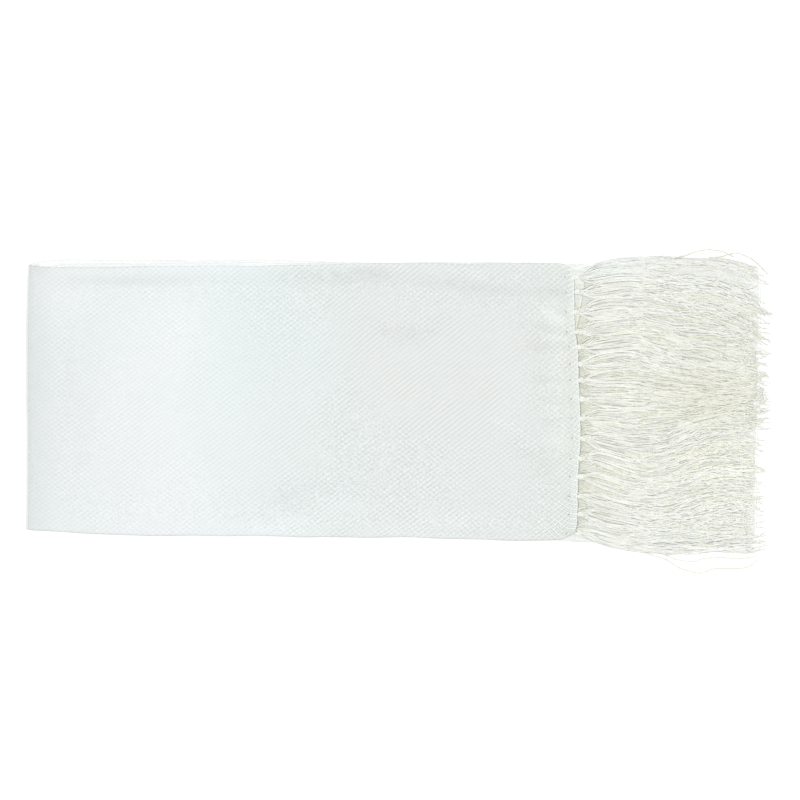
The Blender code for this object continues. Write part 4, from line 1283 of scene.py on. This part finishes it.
def first_knot(cloth, number, knot_y):
    """Knot of the first end: where its hem is, its middle, its size and the cloth's height there."""
    hem_x = float(hem_line(TOP_HEM, knot_y)) - DRAWN_IN
    level = 6.2 + (HIGHER if knot_y > HIGH_FROM else 0.0)
    knot = np.array([hem_x + TOP_KNOTS_OUT[number], knot_y, level])
    share = (knot_y - float(read(TOP_EDGES, 146.0, 2))) / 230.0
    top = float(top_height(cloth, np.array(hem_x - 3.0), knot_y, share, 3.0)) + 0.30
    return hem_x, knot, TOP_KNOT, top


def second_knot(number, knot_y):
    """The same of the second end, whose last knots alone show."""
    hem_x = float(hem_line(SECOND_HEM, knot_y)) - DRAWN_IN
    seen = number >= len(SECOND_KNOTS) - SEEN_KNOTS
    knot = np.array([hem_x + (3.4 if seen else 2.4), knot_y, 4.9 if seen else 4.55])
    return hem_x, knot, SEEN_KNOT if seen else HIDDEN_KNOT, SECOND_LEVEL + 0.30


def tassels(look, cloth, first, finish):
    """All tassels of one end, one piece each, in place of the frame's own."""
    random = np.random.default_rng(look.seed + (0 if first else 100))
    knots, end = (TOP_KNOTS, FIRST_END) if first else (SECOND_KNOTS, SECOND_END)
    word, node = ("first", "top") if first else ("second", "second")
    count, crest = (look.first_yarns, look.crest_yarns) if first else (look.second_yarns, 3)
    thick, pitch = look.yarn / MM / 2, look.twist_pitch / MM
    for number, knot_y in enumerate(knots):
        known = first_knot(cloth, number, knot_y) if first else second_knot(number, knot_y)
        hem_x, knot, (size, ply), top = known
        skin = Skin()
        locks = lock_set(random, share_span(knots, number), end)
        # Thicker yarns on the crest of the tassel, then those of its body
        for amount, lifted, reach, stations, sides, swell in (
            (crest, 0.50, 0.45, 100, 6, 1.05),
            (count, 0.0, 1.0, 72, 4, 0.95),
        ):
            across = reach * random.permutation(np.linspace(-1, 1, amount))
            across = across + random.normal(0, 0.1, amount)
            paths, rank = tassel_paths(random, knot, locks, across, lifted, stations, end, thick)
            t = np.linspace(0, 1, stations)
            radii = random.uniform(0.85, 1.12, (amount, 1)) * thick * swell
            radii = radii * (0.88 + 0.12 * smooth(t, 0.0, 0.12)) * (1 - 0.35 * smooth(t, 0.965, 1.0))
            tint = 0.5 * random.uniform(-1, 1, amount)
            tint = tint + locks["tint"][np.arange(amount) % end["locks"]]
            # How deep each yarn lies, which paints golden shade deep in the pile
            tint = np.stack([tint, 0.75 * np.clip(1 - rank, 0, 1)], axis=1)
            turn = random.uniform(0, 2 * np.pi, amount)
            skin.tube(paths, radii, sides, tint, pitch=pitch, oval=0.16, turn=turn)
        knot_into(skin, knot, size, ply, random.uniform(0, 6.3), random.uniform(-0.5, 0.5))
        hem_yarns_into(skin, random, hem_x, knot, top, random.uniform(-0.5, 0.5), thick)
        if not first and number == len(knots) - 1:
            corner_yarns_into(skin, random, 0.85 * thick, SECOND_LEVEL + 0.75, pitch)
        piece = skin.piece(f"{word}_end_tassel_{number + 1:02d}", finish)
        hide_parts(f"{node}_tassel_{number + 1:02d}")


def loose_yarns(look, finish):
    """Yarns that have come away from the sides of the fringe, and short free ends on top of it."""
    random = np.random.default_rng(look.seed + 200)
    skin = Skin()
    for rows, share, rise, depth in ((LOOSE_YARNS, 0.92, 1.6, 2.0), (STRAY_ENDS, 0.8, 3.3, 0.0)):
        thick = look.yarn / MM / 2 * share
        for points in rows:
            line = through(points, 90 if len(points) > 6 else 46)
            x, y = line[:, 0], line[:, 1]
            t = np.linspace(0, 1, len(x))
            y = y + 0.22 * np.sin(x / 1.9 + 5 * random.random()) * (1 - t)
            risen = rise * inside_pile(x, y) * (0.4 + 0.6 * smooth(t, 0.0, 0.3))
            radii = thick * (1 - 0.3 * smooth(t, 0.95, 1.0))[None]
            path = stacked(x, y, support_height(x, y) + thick + risen)[None]
            tint = (random.uniform(-1, 1), depth)
            skin.tube(path, radii, 6, tint, pitch=look.twist_pitch / MM, oval=0.16)
    piece = skin.piece("loose_fringe_yarns", finish)


class SCARF_OT_first_fringe(bpy.types.Operator):
    """Make the fringe of the first end, which lies on top"""

    bl_idname = "scarf.first_fringe"
    bl_label = "Fringe, first end"

    def execute(self, context):
        look = context.scene.scarf_fringe
        root = (0.40, look.side_colour)
        finish = yarn_finish("cream_yarn", look, look.first_colour, look.first_deep_shade, root)
        tassels(look, context.scene.scarf_cloth, True, finish)
        loose_yarns(look, finish)
        return {"FINISHED"}


class SCARF_OT_second_fringe(bpy.types.Operator):
    """Make the fringe of the second end, which lies under the first end's"""

    bl_idname = "scarf.second_fringe"
    bl_label = "Fringe, second end"

    def execute(self, context):
        look = context.scene.scarf_fringe
        # The wash by the hem is painted shade of the first end's hem
        root = (0.7, look.hem_shade_colour)
        finish = yarn_finish("white_yarn", look, look.second_colour, look.second_deep_shade, root)
        tassels(look, context.scene.scarf_cloth, False, finish)
        return {"FINISHED"}


class SCARF_OT_declare(bpy.types.Operator):
    """A step that takes no action and finishes at once"""

    bl_idname = "scarf.declare"
    bl_label = "Cut of the cloth"

    def execute(self, context):
        return {"FINISHED"}


class SCARF_OT_stage(bpy.types.Operator):
    """Make the plain floor, the soft lights and the camera straight above"""

    bl_idname = "scarf.stage"
    bl_label = "Stage"

    def execute(self, context):
        look = context.scene.scarf_stage
        self.floor(look)
        self.light("key_softbox", (-0.42, 0.22, 3.4), (1.1, 0.9), look.key_power)
        self.light("fill_softbox", (0.25, -1.3, 1.2), (1.2, 0.9), look.fill_power)
        world = bpy.data.worlds.new("pale_studio")
        world.use_nodes = True
        background = world.node_tree.nodes["Background"]
        background.inputs["Color"].default_value = (1.0, 1.0, 1.0, 1.0)
        background.inputs["Strength"].default_value = look.sky
        context.scene.world = world
        self.camera(context, look)
        context.scene.view_settings.view_transform = "Standard"
        context.scene.view_settings.look = "None"
        return {"FINISHED"}

    def floor(self, look):
        """A flat square at the height that the cloth rests on."""
        side = 10.0
        corners = np.array([[-1, -1, 0], [1, -1, 0], [1, 1, 0], [-1, 1, 0]]) * side / 2
        mesh = bpy.data.meshes.new("studio_floor")
        mesh.from_pydata(corners.tolist(), [], [(0, 1, 2, 3)])
        finish = Finish("studio_floor")
        grain = finish.noise(finish.place(), 60.0, 2.0)
        colour = finish.blend(grain * 0.02, tuple(look.floor_colour), scaled(look.floor_colour, 0.98))
        finish.put(finish.shader.inputs["Base Color"], colour)
        finish.constant(Roughness=0.9, Specular_IOR_Level=0.1)
        mesh.materials.append(finish.material)
        made = bpy.data.objects.new("studio_floor", mesh)
        bpy.context.scene.collection.objects.link(made)

    def light(self, name, place, size, power):
        """A rectangular softbox that faces the middle of the scarf."""
        lamp = bpy.data.lights.new(name, "AREA")
        lamp.shape = "RECTANGLE"
        lamp.size, lamp.size_y = size
        lamp.energy = power
        made = bpy.data.objects.new(name, lamp)
        made.location = place
        made.rotation_euler = (-made.location).to_track_quat("-Z", "Y").to_euler()
        bpy.context.scene.collection.objects.link(made)

    def camera(self, context, look):
        """Straight above the middle of the view, with a long lens that shows the given field."""
        camera = bpy.data.cameras.new("camera")
        camera.sensor_width = 36.0
        height = 3.0
        camera.lens = camera.sensor_width * height / look.field
        made = bpy.data.objects.new("camera", camera)
        middle = (np.array(VIEW_MIDDLE) + SHIFT) * MM
        made.location = (middle[0], middle[1], height)
        bpy.context.scene.collection.objects.link(made)
        context.scene.camera = made


class SCARF_PT_panel(bpy.types.Panel):
    """Lists the steps in order"""

    bl_idname = "SCARF_PT_panel"
    bl_label = "Fringed scarf"
    bl_space_type = "VIEW_3D"
    bl_region_type = "UI"
    bl_category = "Scarf"

    def draw(self, context):
        for step in STEPS:
            self.layout.operator(step.bl_idname)
        for group in LOOKS:
            look = getattr(context.scene, group)
            box = self.layout.box()
            for word in look.__annotations__:
                box.prop(look, word)


STEPS = (
    SCARF_OT_cloth, SCARF_OT_first_fringe, SCARF_OT_second_fringe, SCARF_OT_declare, SCARF_OT_stage,
)
LOOKS = {
    "scarf_cloth": ScarfClothLook, "scarf_fringe": ScarfFringeLook, "scarf_stage": ScarfStageLook,
}


def register():
    for known in (*LOOKS.values(), *STEPS, SCARF_PT_panel):
        bpy.utils.register_class(known)
    for word, known in LOOKS.items():
        setattr(bpy.types.Scene, word, bpy.props.PointerProperty(type=known))


def unregister():
    for word in LOOKS:
        delattr(bpy.types.Scene, word)
    for known in (SCARF_PT_panel, *reversed(STEPS), *reversed(list(LOOKS.values()))):
        bpy.utils.unregister_class(known)


def main():
    register()
    for step in STEPS:
        group, name = step.bl_idname.split(".")
        if getattr(getattr(bpy.ops, group), name)() != {"FINISHED"}:
            raise RuntimeError(f"{step.bl_label} didn't finish")


if __name__ == "__main__":
    main()
